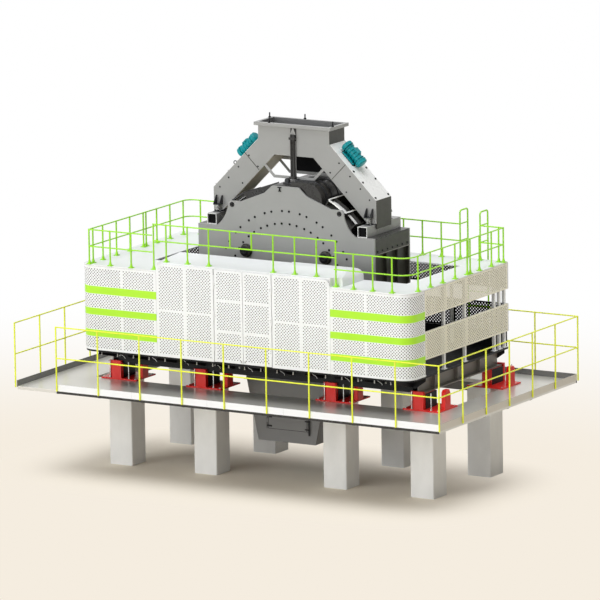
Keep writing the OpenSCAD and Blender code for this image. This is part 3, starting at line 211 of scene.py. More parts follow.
class Shape:
    """The faces of one piece, collected in the shared frame."""

    def __init__(self):
        self.verts = []
        self.faces = []
        self.inner = []

    def add(self, verts, faces):
        start = len(self.verts)
        self.verts.extend(tuple(v) for v in verts)
        self.faces.extend([start + i for i in face] for face in faces)

    def box(self, one, other):
        """A box between two opposite corners."""
        (x0, y0, z0), (x1, y1, z1) = one, other
        self.prism([(x0, y0), (x1, y0), (x1, y1), (x0, y1)], "z", z0, z1)

    def block(self, centre, axes, spans):
        """A box along three directions from a centre, between two distances along each."""
        verts = [centre + axes[0] * a + axes[1] * b + axes[2] * c
                 for a in spans[0] for b in spans[1] for c in spans[2]]
        self.add(verts, [[0, 1, 3, 2], [4, 6, 7, 5], [0, 4, 5, 1], [2, 3, 7, 6], [0, 2, 6, 4], [1, 5, 7, 3]])

    def prism(self, outline, axis, near, far):
        """An outline thickened along an axis. It is drawn in the other two axes, in their order."""
        put = {"x": lambda a, b, c: (c, a, b),
               "y": lambda a, b, c: (a, c, b),
               "z": lambda a, b, c: (a, b, c)}[axis]
        n = len(outline)
        verts = [put(a, b, near) for a, b in outline] + [put(a, b, far) for a, b in outline]
        sides = [[i, (i + 1) % n, n + (i + 1) % n, n + i] for i in range(n)]
        self.add(verts, [list(range(n))[::-1], list(range(n, 2 * n))] + sides)

    def lathe(self, at, axis, profile, sides=16, turn=0.0):
        """A profile of radius and height, turned about an axis through a point."""
        spin = Vector(axis).normalized().to_track_quat("Z", "Y").to_matrix()
        verts = []
        for radius, height in profile:
            verts += [Vector(at) + spin @ Vector((a, b, height)) for a, b in ring(radius, sides, turn)]
        faces = [list(range(sides))[::-1], list(range(len(verts) - sides, len(verts)))]
        for k in range(len(profile) - 1):
            for i in range(sides):
                j = (i + 1) % sides
                faces.append([k * sides + i, k * sides + j, (k + 1) * sides + j, (k + 1) * sides + i])
        self.add(verts, faces)

    def rod(self, start, end, radius, sides=12):
        along = Vector(end) - Vector(start)
        self.lathe(start, along, [(radius, 0), (radius, along.length)], sides)

    def tube(self, points, radius, sides=10, closed=False):
        """A round bar along a line of points, with mitred bends."""
        points = [Vector(p) for p in points]
        count = len(points)
        verts = []
        side = None
        for k, point in enumerate(points):
            before = points[k - 1] if k or closed else point
            after = points[(k + 1) % count] if k < count - 1 or closed else point
            ahead = ((after - point).normalized() + (point - before).normalized()).normalized()
            side = side or (X if abs(ahead.x) < 0.9 else Y)
            side = (side - ahead * side.dot(ahead)).normalized()
            up = ahead.cross(side)
            verts += [point + side * a + up * b for a, b in ring(radius, sides)]
        faces = [] if closed else [list(range(sides))[::-1], list(range(len(verts) - sides, len(verts)))]
        for k in range(count if closed else count - 1):
            low, high = k * sides, (k + 1) % count * sides
            for i in range(sides):
                j = (i + 1) % sides
                faces.append([low + i, low + j, high + j, high + i])
        self.add(verts, faces)

    def bolt(self, at, axis, radius, washer=True):
        """A hexagon head on a washer."""
        if washer:
            self.lathe(at, axis, [(radius * 1.35, 0), (radius * 1.35, radius * 0.22)], 14)
        head = [(radius, 0), (radius, radius * 0.85), (radius * 0.85, radius * 1.02)]
        self.lathe(at, axis, head, 6)

    def slab(self, place, us, vs, depth, lined=False):
        """A plain sheet over a grid of sheet places, between two depths below its outer face."""
        near, far = depth
        wide = len(us)
        flat = [(u, v) for v in vs for u in us]
        faces = [[r * wide + c, r * wide + c + 1, (r + 1) * wide + c + 1, (r + 1) * wide + c]
                 for r in range(len(vs) - 1) for c in range(wide - 1)]
        self.sheet(place, flat, faces, near, far, lined)

    def sheet(self, place, flat, faces, near, far, lined=False):
        """Flat faces as a closed sheet: an outer and an inner skin, joined along every open edge.

        On a lined sheet, all but the outer skin takes the piece's inside material, which for the enclosure is
        a dark paint standing in for the shade inside it.
        """
        n = len(flat)
        verts = [place(u, v, near) for u, v in flat] + [place(u, v, far) for u, v in flat]
        uses = {}
        for face in faces:
            for a, b in zip(face, face[1:] + face[:1]):
                uses[(a, b)] = uses.get((a, b), 0) + 1
        walls = [[b, a, n + a, n + b] for a, b in uses if (b, a) not in uses]
        first = len(self.faces) + len(faces)
        self.add(verts, faces + [[n + i for i in face[::-1]] for face in faces] + walls)
        if lined:
            self.inner.extend(range(first, len(self.faces)))

    def perforated(self, place, u0, u1, v0, v1, depth, pitch, hole):
        """A sheet with staggered round holes, in rows that are offset by half a pitch in turn."""
        columns = max(1, round((u1 - u0) / pitch))
        rows = max(1, round((v1 - v0) / (pitch / 2)))
        du = (u1 - u0) / columns
        dv = (v1 - v0) / rows
        index, flat, faces = {}, [], []

        def point(u, v):
            key = (round(u, 6), round(v, 6))
            if key not in index:
                index[key] = len(flat)
                flat.append(key)
            return index[key]

        for row in range(rows):
            low, high = v0 + row * dv, v0 + (row + 1) * dv
            shift = row % 2 / 2
            for column in range(columns - row % 2):
                left = u0 + (column + shift) * du
                cell = lattice_cell(left, left + du, low, high)
                centre = (left + du / 2, (low + high) / 2)
                outer = [point(u, v) for u, v in cell]
                inner = [point(centre[0] + a, centre[1] + b) for a, b in ring(hole, 8, -0.75 * math.pi)]
                faces += [[outer[i], outer[(i + 1) % 8], inner[(i + 1) % 8], inner[i]] for i in range(8)]
            if row % 2:
                for left, inner_right in ((u0, True), (u1 - du / 2, False)):
                    right = left + du / 2
                    middle = (low + high) / 2
                    loop = [(left, low), (right, low), (right, high), (left, high)]
                    loop.insert(2 if inner_right else 4, (right if inner_right else left, middle))
                    faces.append([point(u, v) for u, v in loop])
        self.sheet(place, flat, faces, *depth, lined=True)

    def made(self, name, material, body="root", slot=None, replaces=(), bevel=0.0, angle=40, inside=None):
        """Turns the collected faces into a piece on a body."""
        mesh = bpy.data.meshes.new(name)
        mesh.from_pydata(self.verts, [], self.faces)
        edit = bmesh.new()
        edit.from_mesh(mesh)
        bmesh.ops.recalc_face_normals(edit, faces=edit.faces)
        edit.to_mesh(mesh)
        edit.free()
        mesh.polygons.foreach_set("use_smooth", [True] * len(mesh.polygons))
        mesh.set_sharp_from_angle(angle=math.radians(angle))
        mesh.materials.append(material)
        if inside:
            mesh.materials.append(inside)
            for i in self.inner:
                mesh.polygons[i].material_index = 1
        piece = bpy.data.objects.new(name, mesh)
        bpy.context.scene.collection.objects.link(piece)
        if bevel:
            soften(piece, bevel)
        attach(piece, body)
        if replaces:
            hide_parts(*replaces)
        return piece


def soften(piece, width):
    """Rounds the sharp edges of a piece a little, so that they catch the light."""
    bevel = piece.modifiers.new("soft_edges", "BEVEL")
    bevel.width = width
    bevel.segments = 2
    bevel.limit_method = "ANGLE"
    bevel.angle_limit = math.radians(50)
    bevel.harden_normals = True


def dress(material, names, edge=0.004):
    """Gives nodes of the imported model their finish, with joined faces and softened edges."""
    for name in names:
        node = nodes[name]
        node.data.materials.clear()
        node.data.materials.append(material)
        weld = node.modifiers.new("joined", "WELD")
        weld.merge_threshold = 0.0002
        flat = node.modifiers.new("flat_faces", "DECIMATE")
        flat.decimate_type = "DISSOLVE"
        flat.angle_limit = math.radians(0.5)
        if edge:
            soften(node, edge)


def mirrored(place):
    """The same sheet on the other side of the middle plane."""
    return lambda u, v, d: tuple(c * s for c, s in zip(place(u, v, d), (-1, 1, 1)))


def span(name):
    """The lowest and highest corner of a node."""
    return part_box(name)


dress(CONCRETE, ["columns"], 0.0)
dress(DECK, ["deck"])
dress(HOPPER_GREY, ["corbels", "deck_frame", "toe_boards"])
dress(WHITE, ["front_posts", "enclosure_posts"], 0.003)
dress(ROOF_WHITE, ["roof", "hood"], 0.006)
dress(RED, ["pedestals"], 0.005)
dress(DARK, ["base_back", "crest_gear", "motor_bases"])
# The base's front and underside below the enclosure: black as painted shade.
dress(BLACK_AND_SHADE, ["base_front", "base_deck"])
dress(BEAM_GREY, ["base_ends", "base_cross"])
dress(GREY, ["crusher_front", "crusher_back", "tube_beams", "chute_front", "chute_back",
             "chute_flange", "chute_braces"], 0.005)
dress(SHADE_GREY, ["crusher_ends", "chute_walls", "chute_floor", "bosses"], 0.005)
dress(CASING, ["crusher_casing", "chute_strut"], 0.005)
dress(HOPPER_GREY, ["discharge_front", "discharge_back", "discharge_sides", "hatch"])


# Guard rails on the platform

GUARD_POST = 0.0165
GUARD_RAIL = 0.0140
GUARD_MID = 0.67
GUARD_BAY = 1.0
deck_top = span("deck")[1].z
guard_top = span("guard_front")[1].z - GUARD_POST


def guard(name, start, end, bays, posts):
    """A run of guard rail between two points on the deck, with posts at some of its bay marks."""
    shape = Shape()
    start, end = Vector(start), Vector(end)
    foot = span(name)[0].z
    for i in posts:
        at = start.lerp(end, i / bays)
        shape.lathe((at.x, at.y, foot), Z, [(GUARD_POST, 0), (GUARD_POST, guard_top - foot),
                                            (GUARD_POST * 0.7, guard_top - foot + GUARD_POST * 0.8)], 12)
    for z in (deck_top + GUARD_MID, guard_top):
        shape.rod((start.x, start.y, z), (end.x, end.y, z), GUARD_RAIL)
    shape.made(name + "_tubes", YELLOW, slot="yellow_paint", replaces=[name])


corner_low, corner_high = (c - Vector((GUARD_POST, GUARD_POST, 0)) * s
                           for c, s in zip(span("guard_back"), (-1, 1)))
left_x, right_x = corner_low.x, corner_high.x
back_y = corner_high.y
front_y = span("guard_front")[0].y + GUARD_POST
access_x = span("guard_front")[0].x + GUARD_POST
bays_long = round((right_x - left_x) / GUARD_BAY)
bays_front = round((right_x - access_x) / GUARD_BAY)
bays_end = 6
guard("guard_front", (access_x, front_y, 0), (right_x, front_y, 0), bays_front, range(bays_front + 1))
guard("guard_back", (left_x, back_y, 0), (right_x, back_y, 0), bays_long, range(bays_long + 1))
guard("guard_left", (left_x, front_y, 0), (left_x, back_y, 0), bays_end, range(bays_end))
guard("guard_right", (right_x, front_y, 0), (right_x, back_y, 0), bays_end, range(1, bays_end))


# Perforated sheets of the enclosure

SHEET = 0.004
PAN = 0.03
PITCH = 0.068
HOLE = 0.0122
MARGIN = 0.045
RIM = 0.7 * MARGIN
JOINT = 0.001
CURVE_STEP = 0.05
STRIPE = 0.004
SHADE_SHEET_DEPTH = (0.022, 0.026)
DOOR_SHADE_SHEET_DEPTH = (0.018, 0.022)
STRIPES = ((2.885, 3.025), (3.335, 3.475), (3.775, 3.93))


def steps(start, end, size):
    count = max(1, math.ceil((end - start) / size))
    return [start + (end - start) * i / count for i in range(count + 1)]


def panel(shape, place, us, vs, curved=False, cut=0.0):
    """A folded sheet. Between the marks, odd spans both ways are perforated and the rest is plain."""
    wide, tall = us[-1], vs[-1]
    last = (len(us) - 2, len(vs) - 2)
    for i in range(len(us) - 1):
        for j in range(len(vs) - 1):
            u0, u1, v0, v1 = us[i], us[i + 1], vs[j], vs[j + 1]
            if i % 2 and j % 2:
                shape.perforated(place, u0, u1, v0, v1, (0, SHEET), PITCH, HOLE)
                continue
            if cut and (i, j) == last:
                outline = arc(wide - cut, tall - cut, cut, 90, 0, 8)
                outline += [(u0, tall - cut), (u0, v0), (wide - cut, v0)]
                shape.sheet(place, outline, [list(range(len(outline)))[::-1]], 0, SHEET, True)
                continue
            if cut and j == last[1]:
                u1 = min(u1, wide - cut)
            if cut and i == last[0]:
                v1 = min(v1, tall - cut)
            shape.slab(place, steps(u0, u1, CURVE_STEP) if curved else [u0, u1], [v0, v1], (0, SHEET), True)
    run = steps(us[0], wide - cut, CURVE_STEP) if curved else [us[0], wide - cut]
    for low in (vs[0], tall - SHEET):
        shape.slab(place, run, [low, low + SHEET], (SHEET, PAN))
    for left in (us[0], wide - SHEET):
        shape.slab(place, [left, left + SHEET], [vs[0] + SHEET, tall - SHEET - cut], (SHEET, PAN))


right_low, right_high = span("corner_right")
wall_front = right_low.y
wall_half = right_high.x
wall_floor = right_low.z
wall_height = right_high.z - right_low.z
corner_start = right_low.x
corner_end = right_high.y
CORNER_R = 0.30
front_run = wall_half - CORNER_R - corner_start
bend_run = CORNER_R * math.pi / 2
corner_run = front_run + bend_run + corner_end - wall_front - CORNER_R


def corner_place(u, v, d):
    """A place on the right corner sheet: along the front, round the corner and along the side."""
    z = wall_floor + v
    if u < front_run:
        return (corner_start + u, wall_front + d, z)
    if u < front_run + bend_run:
        angle = (u - front_run) / CORNER_R - math.pi / 2
        reach = CORNER_R - d
        return (wall_half - CORNER_R + reach * math.cos(angle),
                wall_front + CORNER_R + reach * math.sin(angle), z)
    return (wall_half - d, wall_front + CORNER_R + u - front_run - bend_run, z)


def corner_panel(side, place):
    """A rounded corner sheet, a dark sheet behind it as painted shade of the enclosure's inside, and three
    stripes.
    """
    seam, seam_half, rim, clear = 0.825, 0.012, 0.02, 0.01
    us = [0, MARGIN, seam - seam_half, seam + seam_half, corner_run - rim, corner_run]
    edges = [z - wall_floor for stripe in STRIPES for z in stripe]
    vs = [0, MARGIN] + [e + clear * (-1, 1)[i % 2] for i, e in enumerate(edges)]
    vs += [wall_height - MARGIN, wall_height]
    shape, shade_sheet, bands = Shape(), Shape(), Shape()
    panel(shape, place, us, vs, curved=True)
    shade_sheet.slab(place, steps(SHEET, corner_run - SHEET, CURVE_STEP), [SHEET, wall_height - SHEET], SHADE_SHEET_DEPTH)
    for low, high in STRIPES:
        bands.slab(place, steps(0.0, corner_run, CURVE_STEP),
                   [low - wall_floor, high - wall_floor], (-STRIPE, 0))
    shape.made(f"corner_{side}_sheet", WHITE, slot="white_paint", replaces=[f"corner_{side}"], angle=25,
               inside=SHADE_LINER)
    shade_sheet.made(f"corner_{side}_lining", SHADE_LINER, slot="white_paint", angle=25)
    bands.made(f"corner_{side}_stripes", LIME, slot="green_paint", angle=25)


corner_panel("right", corner_place)
corner_panel("left", mirrored(corner_place))

bay_low, bay_high = span("bay_right")
BAY_CORNER = 0.12


def bay_place(u, v, d):
    return (bay_low.x + u, wall_front + d, bay_low.z + v)


def bay_panel(side, place):
    """A fixed front bay with four perforated fields, one rounded corner and a dark sheet behind it as painted
    shade of the enclosure's inside.
    """
    wide, tall = bay_high.x - bay_low.x, bay_high.z - bay_low.z
    rib, foot = 0.022, 0.02
    us = [0, MARGIN, wide / 2 - rib, wide / 2 + rib, wide - MARGIN, wide]
    vs = [0, MARGIN + foot, tall / 2 - rib, tall / 2 + rib, tall - MARGIN, tall]
    shape, shade_sheet = Shape(), Shape()
    panel(shape, place, us, vs, cut=BAY_CORNER)
    shade_sheet.slab(place, [SHEET, wide - BAY_CORNER], [SHEET, tall - SHEET], SHADE_SHEET_DEPTH)
    shade_sheet.slab(place, [wide - BAY_CORNER, wide - SHEET], [SHEET, tall - BAY_CORNER], SHADE_SHEET_DEPTH)
    shape.made(f"bay_{side}_sheet", WHITE, slot="white_paint", replaces=[f"bay_{side}"], inside=SHADE_LINER)
    shade_sheet.made(f"bay_{side}_lining", SHADE_LINER, slot="white_paint")


bay_panel("right", bay_place)
bay_panel("left", mirrored(bay_place))

LEAF = 0.025
KNUCKLE_R = 0.014
KNUCKLE_H = 0.06
HINGE_Y = wall_front - 0.016
door_box = span("door_right")
hinge_x = door_box[1].x - KNUCKLE_R
leaf_low = Vector((door_box[0].x, wall_front, door_box[0].z))
leaf_high = Vector((hinge_x - 0.008, wall_front + LEAF, door_box[1].z))
post_top = span("bay_right")[1].z
hinge_zs = [wall_floor + 0.32, (wall_floor + post_top) / 2, post_top - 0.32]


def door_leaf(side, sign):
    """A leaf with three perforated fields, a folded rim, hinge knuckles and a latch at the foot."""
    wide, tall = leaf_high.x - leaf_low.x, leaf_high.z - leaf_low.z
    rib, foot, plate = 0.03, 0.01, 0.005

    def place(u, v, d):
        return (sign * (leaf_low.x + u), wall_front + min(d, LEAF), leaf_low.z + v)

    vs = [0, MARGIN + foot]
    for k in (1, 2):
        vs += [tall * k / 3 - rib, tall * k / 3 + rib]
    vs += [tall - MARGIN, tall]
    shape, shade_sheet, latch = Shape(), Shape(), Shape()
    panel(shape, place, [0, RIM, wide - MARGIN, wide], vs)
    # A dark sheet behind the leaf: painted shade seen through the holes.
    shade_sheet.slab(place, [SHEET, wide - SHEET], [SHEET, tall - SHEET], DOOR_SHADE_SHEET_DEPTH)
    x, y, z = sign * (leaf_low.x + 0.04), wall_front, leaf_low.z + 0.05
    latch.lathe((x, y, z), -Y, [(0.018, 0), (0.018, 0.008), (0.011, 0.014)], 14)
    latch.box((x - 0.005, y - 0.022, z - 0.016), (x + 0.005, y - 0.012, z + 0.016))
    for z in hinge_zs:
        low, high = z - KNUCKLE_H / 2, z + KNUCKLE_H / 2
        shape.rod((sign * hinge_x, HINGE_Y, low), (sign * hinge_x, HINGE_Y, high), KNUCKLE_R)
        shape.box((sign * (hinge_x - 0.06), y - plate, low), (sign * (hinge_x - 0.007), y, high))
        for up in (-0.018, 0.018):
            latch.bolt((sign * (hinge_x - 0.035), y - plate, z + up), -Y, 0.006)
    shape.made(f"door_{side}_sheet", WHITE, f"door_{side}", "white_paint", [f"door_{side}"], inside=SHADE_LINER)
    shade_sheet.made(f"door_{side}_lining", SHADE_LINER, f"door_{side}", "white_paint")
    latch.made(f"door_{side}_fittings", ZINC, f"door_{side}", "white_paint")


door_leaf("right", 1)
door_leaf("left", -1)


def band_panels(name, place, marks, bands, material):
    """The upper and lower perforated bands of a wall, in sheets that meet on the posts."""
    for part, (low, high) in zip(("low", "high"), bands):
        shape = Shape()
        for start, end in zip(marks, marks[1:]):
            shift = start + JOINT

            def local(u, v, d):
                return place(shift + u, low + v, d)

            wide, tall = end - start - 2 * JOINT, high - low
            panel(shape, local, [0, RIM, wide - RIM, wide], [0, RIM, tall - RIM, tall])
        # The inner skins take the dark paint that stands in for the shade inside the enclosure.
        shape.made(f"{name}_{part}_sheets", material, slot="white_paint", replaces=[name], inside=SHADE_LINER)


side_low, side_high = span("side_panels_right")
back_low, back_high = span("back_panels")
WINDOW = (3.51, 3.815)
bands = ((side_low.z, WINDOW[0]), (WINDOW[1], side_high.z))
SIDE_SEAMS = (-0.631, 0.218)
BACK_SEAMS = (-2.6, -1.3, 0.0, 1.3, 2.6)


def side_place(u, v, d):
    return (wall_half - d, u, v)


def back_place(u, v, d):
    return (u, back_high.y - d, v)


side_marks = [side_low.y, *SIDE_SEAMS, side_high.y]
band_panels("side_panels_right", side_place, side_marks, bands, SIDE_SHADE_WHITE)
band_panels("side_panels_left", mirrored(side_place), side_marks, bands, SIDE_SHADE_WHITE)
band_panels("back_panels", back_place, [back_low.x, *BACK_SEAMS, back_high.x], bands, WHITE)


# Roof rails

RAIL_POST = 0.017
RAIL = 0.014
FOOT = 0.05
FOOT_TH = 0.012
FOOT_BOLT = 0.034
COLLAR = ((0.034, 0), (0.030, 0.03), (RAIL_POST + 0.001, 0.075))
STAYS = (3.085, 4.195)
roof_top = span("roof")[1].z
rail_top = span("rail_left")[1].z - RAIL_POST
rail_mid = roof_top + 0.37


def foot_post(shape, x, y, low, high, flange=True):
    """A rail post on a square flange with a flared collar and four bolts."""
    shape.rod((x, y, low), (x, y, high), RAIL_POST)
    if not flange:
        return
    shape.box((x - FOOT, y - FOOT, low), (x + FOOT, y + FOOT, low + FOOT_TH))
    shape.lathe((x, y, low + FOOT_TH), Z, COLLAR, 12)
    for dx in (-FOOT_BOLT, FOOT_BOLT):
        for dy in (-FOOT_BOLT, FOOT_BOLT):
            shape.bolt((x + dx, y + dy, low + FOOT_TH), Z, 0.008, False)


def rail_piece(name, posts, lines):
    """A roof rail: posts on the roof and lines of rail at both heights."""
    shape = Shape()
    for x, y in posts:
        foot_post(shape, x, y, roof_top, rail_top + RAIL)
    for z in (rail_mid, rail_top):
        for line in lines:
            shape.tube([(x, y, z) for x, y in line], RAIL)
    shape.made(name + "_tubes", GREEN, slot="green_paint", replaces=[name])


def middle(name, axis):
    low, high = span(name)
    return (low[axis] + high[axis]) / 2


rail_front_y = span("rail_front_left")[0].y + FOOT
rail_left_x = middle("rail_left", 0)
rail_right_x = middle("rail_right", 0)
rail_back_y = span("rail_right")[1].y - FOOT
centre_y = middle("rail_centre", 1)
centre_end = span("rail_centre")[1].x - FOOT
RAIL_CORNER = 0.28
RAIL_TURN = 0.20
LEFT_POSTS = (0, 0.28, 1, 2, 3, 4, 4.2, 5, 6, 7)
LADDER_LEFT = span("ladder")[0].x + FOOT
LADDER_RIGHT = span("ladder")[1].x - FOOT

pitch = (-centre_end - rail_left_x) / 3
rail_piece("rail_front_left", [(rail_left_x + i * pitch, rail_front_y) for i in (1, 2)],
           [[(rail_left_x, rail_front_y), (-centre_end, rail_front_y)]])

turn_y = rail_back_y - RAIL_TURN
pitch = (turn_y - rail_front_y) / 7
rail_piece("rail_left", [(rail_left_x, rail_front_y + i * pitch) for i in LEFT_POSTS],
           [[(rail_left_x, rail_front_y), (rail_left_x, turn_y)]])

bend_x = rail_right_x - RAIL_CORNER
bend_y = rail_front_y + RAIL_CORNER
pitch = (bend_x - 2 * FOOT - centre_end) / 3
rail_piece("rail_front_right", [(centre_end + i * pitch, rail_front_y) for i in (1, 2, 3)],
           [[(centre_end, rail_front_y)] + arc(bend_x, bend_y, RAIL_CORNER, -90, 0, 10)])

first = bend_y + 2 * FOOT
pitch = (rail_back_y - first) / 7
double = first + 4 * pitch + 2.4 * FOOT
rail_piece("rail_right", [(rail_right_x, first + i * pitch) for i in range(8)] + [(rail_right_x, double)],
           [[(rail_right_x, bend_y), (rail_right_x, rail_back_y)]])

turn_x = rail_left_x + RAIL_TURN
pitch = (LADDER_LEFT - turn_x - 2 * FOOT) / 14
rail_piece("rail_back", [(turn_x + 2 * FOOT + i * pitch, rail_back_y) for i in range(14)]
           + [(rail_right_x - 2 * FOOT - 0.01, rail_back_y)],
           [arc(turn_x, turn_y, RAIL_TURN, 180, 90, 8) + [(LADDER_LEFT, rail_back_y)],
            [(LADDER_RIGHT, rail_back_y), (rail_right_x, rail_back_y)]])


def centre_rail():
    """The taller rail over the hood. Its two middle posts stop at the lower rail."""
    shape = Shape()
    top = span("rail_centre")[1].z - RAIL_POST
    mid = roof_top + 0.595
    ledge = roof_top + 0.175
    first, pitch = -1.85, 0.507
    for s in (-1, 1):
        foot_post(shape, s * centre_end, centre_y, roof_top, top + RAIL)
    for i in range(8):
        x = first + i * pitch
        if i in (3, 4):
            foot_post(shape, x, centre_y, mid, top + RAIL, False)
        else:
            foot_post(shape, x, centre_y, ledge, top + RAIL)
    for z in (mid, top):
        shape.rod((-centre_end, centre_y, z), (centre_end, centre_y, z), RAIL)
    shape.made("rail_centre_tubes", GREEN, slot="green_paint", replaces=["rail_centre"])


def ladder():
    """Two stiles with hoops over the roof edge, rungs and stays to the back wall."""
    shape = Shape()
    low, high = span("ladder")
    stile_y = high.y - RAIL_POST
    hoop_z = high.z - RAIL_POST
    bend, rung, rung_pitch = 0.06, 0.011, 0.3
    for x in (LADDER_LEFT, LADDER_RIGHT):
        foot_post(shape, x, rail_back_y, roof_top, roof_top + 0.1)
        path = [(stile_y, low.z)] + arc(stile_y - bend, hoop_z - bend, bend, 0, 90, 5)
        path += arc(rail_back_y + bend, hoop_z - bend, bend, 90, 180, 5) + [(rail_back_y, roof_top + 0.05)]
        shape.tube([(x, y, z) for y, z in path], RAIL_POST)
        for z in STAYS:
            shape.rod((x, back_high.y, z), (x, stile_y, z), RAIL)
            shape.box((x - 0.03, back_high.y, z - 0.04), (x + 0.03, back_high.y + 0.008, z + 0.04))
        for z in (rail_mid, rail_top):
            shape.rod((x, rail_back_y, z), (x, stile_y, z), RAIL)
    z = low.z + rung_pitch
    while z < roof_top:
        shape.rod((LADDER_LEFT, stile_y, z), (LADDER_RIGHT, stile_y, z), rung)
        z += rung_pitch
    shape.made("ladder_tubes", GREEN, slot="green_paint", replaces=["ladder"])


centre_rail()
ladder()


# Crusher

AXIS_Z = 3.87
crush_front = span("crusher_front")[0].y
crush_back = span("crusher_back")[1].y
BOSS_X = 0.94
BOSS_Z = 4.595


def housing_bolts():
    """Pairs of bolts on two arcs of each housing plate."""
    shape = Shape()
    gap, head, step = 0.165, 0.0185, 15
    for y, axis in ((crush_front, -Y), (crush_back, Y)):
        for radius, start, count in ((1.35, 22.5, 10), (1.61, 30.0, 9)):
            for i in range(count):
                for side in (-0.5, 0.5):
                    angle = math.radians(start + step * i) + side * gap / radius
                    spot = (radius * math.cos(angle), y, AXIS_Z + radius * math.sin(angle))
                    shape.bolt(spot, axis, head)
    shape.made("housing_bolts", BLACK_AND_SHADE, slot="dark_steel")


def boss_details():
    """A dark bearing cap with a ring of bolts on each boss."""
    shape = Shape()
    low = span("bosses")[0].y
    cap = [(0.10, 0), (0.10, 0.012), (0.06, 0.02), (0.05, 0.02), (0.04, 0.008)]
    circle, flange = 0.128, 0.03
    for s in (-1, 1):
        shape.lathe((s * BOSS_X, low, BOSS_Z), -Y, cap, 28)
        for a, b in ring(circle, 8, math.radians(22.5)):
            shape.bolt((s * BOSS_X + a, crush_front - flange, BOSS_Z + b), -Y, 0.010)
    shape.made("boss_caps", BLACK_AND_SHADE, slot="dark_steel")


housing_bolts()
boss_details()


# Feed chute

CHUTE_FRONT = span("chute_front")[0].y
CHUTE_BACK = span("chute_back")[1].y
chute_mid = (CHUTE_FRONT + CHUTE_BACK) / 2
hopper_half = 0.843
hopper_corner = 6.865
leg_end = span("chute_front")[1].x
flange_top = span("chute_flange")[1].z
SLOPE = math.sqrt(0.5)
LEG_SEAM = {-1: 0.45, 1: 0.54}
TUBE = 0.22


def on_leg(sign, along, across, out):
    """A place on a leg's sloping cover: down the slope, across it and out of it."""
    x = sign * (hopper_half + SLOPE * (along + out))
    return (x, chute_mid + across, hopper_corner + SLOPE * (out - along))


def leg_sheen_plates():
    """A pale plate over each leg's sloping top, painted reflection of the bright surroundings, and the bolts
    along its lower part.
    """
    plates, bolts = Shape(), Shape()
    length = (leg_end - hopper_half) / SLOPE
    half = (CHUTE_BACK - CHUTE_FRONT) / 2 - 0.004
    cover, gap, inset = 0.006, 0.01, 0.05
    for sign in (-1, 1):
        def place(u, v, d):
            return on_leg(sign, u, v, -d)

        plates.slab(place, [gap, length - gap], [-half, half], (-cover, 0))
        out = Vector((sign, 0, 1)).normalized()
        for along in (0.75, 1.05, length - 0.07):
            for across in (inset - half, half - inset):
                bolts.bolt(on_leg(sign, along, across, cover), out, 0.018)
    plates.made("leg_sheen_plates", PALE_AND_SHEEN, slot="grey_paint", bevel=0.002)
    bolts.made("leg_cover_bolts", BLACK_AND_SHADE, slot="dark_steel")


def chute_fittings():
    """Upright pins on the flange, bolts and seams on the leg faces and a lifting eye."""
    dark, seams = Shape(), Shape()
    low, high = span("chute_flange")
    edge, eye = 0.03, 0.95
    pin = [(0.028, 0), (0.028, 0.024), (0.014, 0.026), (0.014, 0.10), (0.010, 0.106)]
    for x, y in ((-0.55, low.y + edge), (high.x - edge, 0.11), (-0.11, high.y - edge), (low.x + edge, 0.55)):
        dark.lathe((x, y, flange_top), Z, pin, 10)
    bolts = [(along, 0.10) for along in (0.42, 0.78, 1.12, 1.42)] + [(along, 0.40) for along in (0.42, 0.95)]
    for sign in (-1, 1):
        for face, axis in ((CHUTE_FRONT, -Y), (CHUTE_BACK, Y)):
            for along, down in bolts:
                x = sign * (hopper_half + SLOPE * (along - down))
                dark.bolt((x, face, hopper_corner - SLOPE * (along + down)), axis, 0.013)
            seam, deep, w = SLOPE * LEG_SEAM[sign], SLOPE * 0.47, SLOPE * 0.006
            x, z = sign * (hopper_half + seam), hopper_corner - seam
            line = [(x + sign * w, z - w), (x + sign * (w - deep), z - deep - w),
                    (x - sign * (w + deep), z - deep + w), (x - sign * w, z + w)]
            seams.prism(line, "y", face, face + axis.y * 0.004)
    dark.rod(on_leg(-1, eye, 0.0, 0.006), on_leg(-1, eye, 0.0, 0.06), 0.012)
    dark.tube([on_leg(-1, eye + a, 0.0, 0.10 + b) for a, b in ring(0.035, 16)], 0.010, 8, True)
    dark.made("chute_bolts", BLACK_AND_SHADE, slot="dark_steel")
    seams.made("leg_seams", SHADE_GREY, slot="grey_paint")


def spring_sets():
    """Coil springs on pads under the leg brackets."""
    steel, coils = Shape(), Shape()
    tube_top, tube_x = span("tube_beams")[1].z, span("tube_beams")[1].x - TUBE / 2
    seat, pad, thick, gusset, tip = 5.45, 0.15, 0.014, 0.17, 0.04
    coil, wire, core, turns, per = 0.045, 0.009, 0.016, 4, 14
    low, high = tube_top + thick, seat - thick
    for x in (-tube_x, tube_x):
        for face, side in ((CHUTE_FRONT, -1), (CHUTE_BACK, 1)):
            far = face + side * pad
            for z in (tube_top, high):
                steel.box((x - pad / 2, face, z), (x + pad / 2, far, z + thick))
            wing = [(face, seat), (far, seat), (face + side * tip, seat + gusset), (face, seat + gusset)]
            for left in (x - pad / 2, x + pad / 2 - thick):
                steel.prism(wing, "x", left, left + thick)
            y = (face + far) / 2
            path = []
            for i in range(turns * per + 1):
                angle = 2 * math.pi * i / per
                rise = wire + (high - low - 2 * wire) * i / (turns * per)
                path.append((x + coil * math.cos(angle), y + coil * math.sin(angle), low + rise))
            coils.tube(path, wire, 8)
            steel.rod((x, y, low), (x, y, high), core)
    steel.made("spring_brackets", DARK, slot="dark_steel", replaces=["spring_mounts"], bevel=0.002)
    coils.made("spring_coils", ZINC, slot="dark_steel")


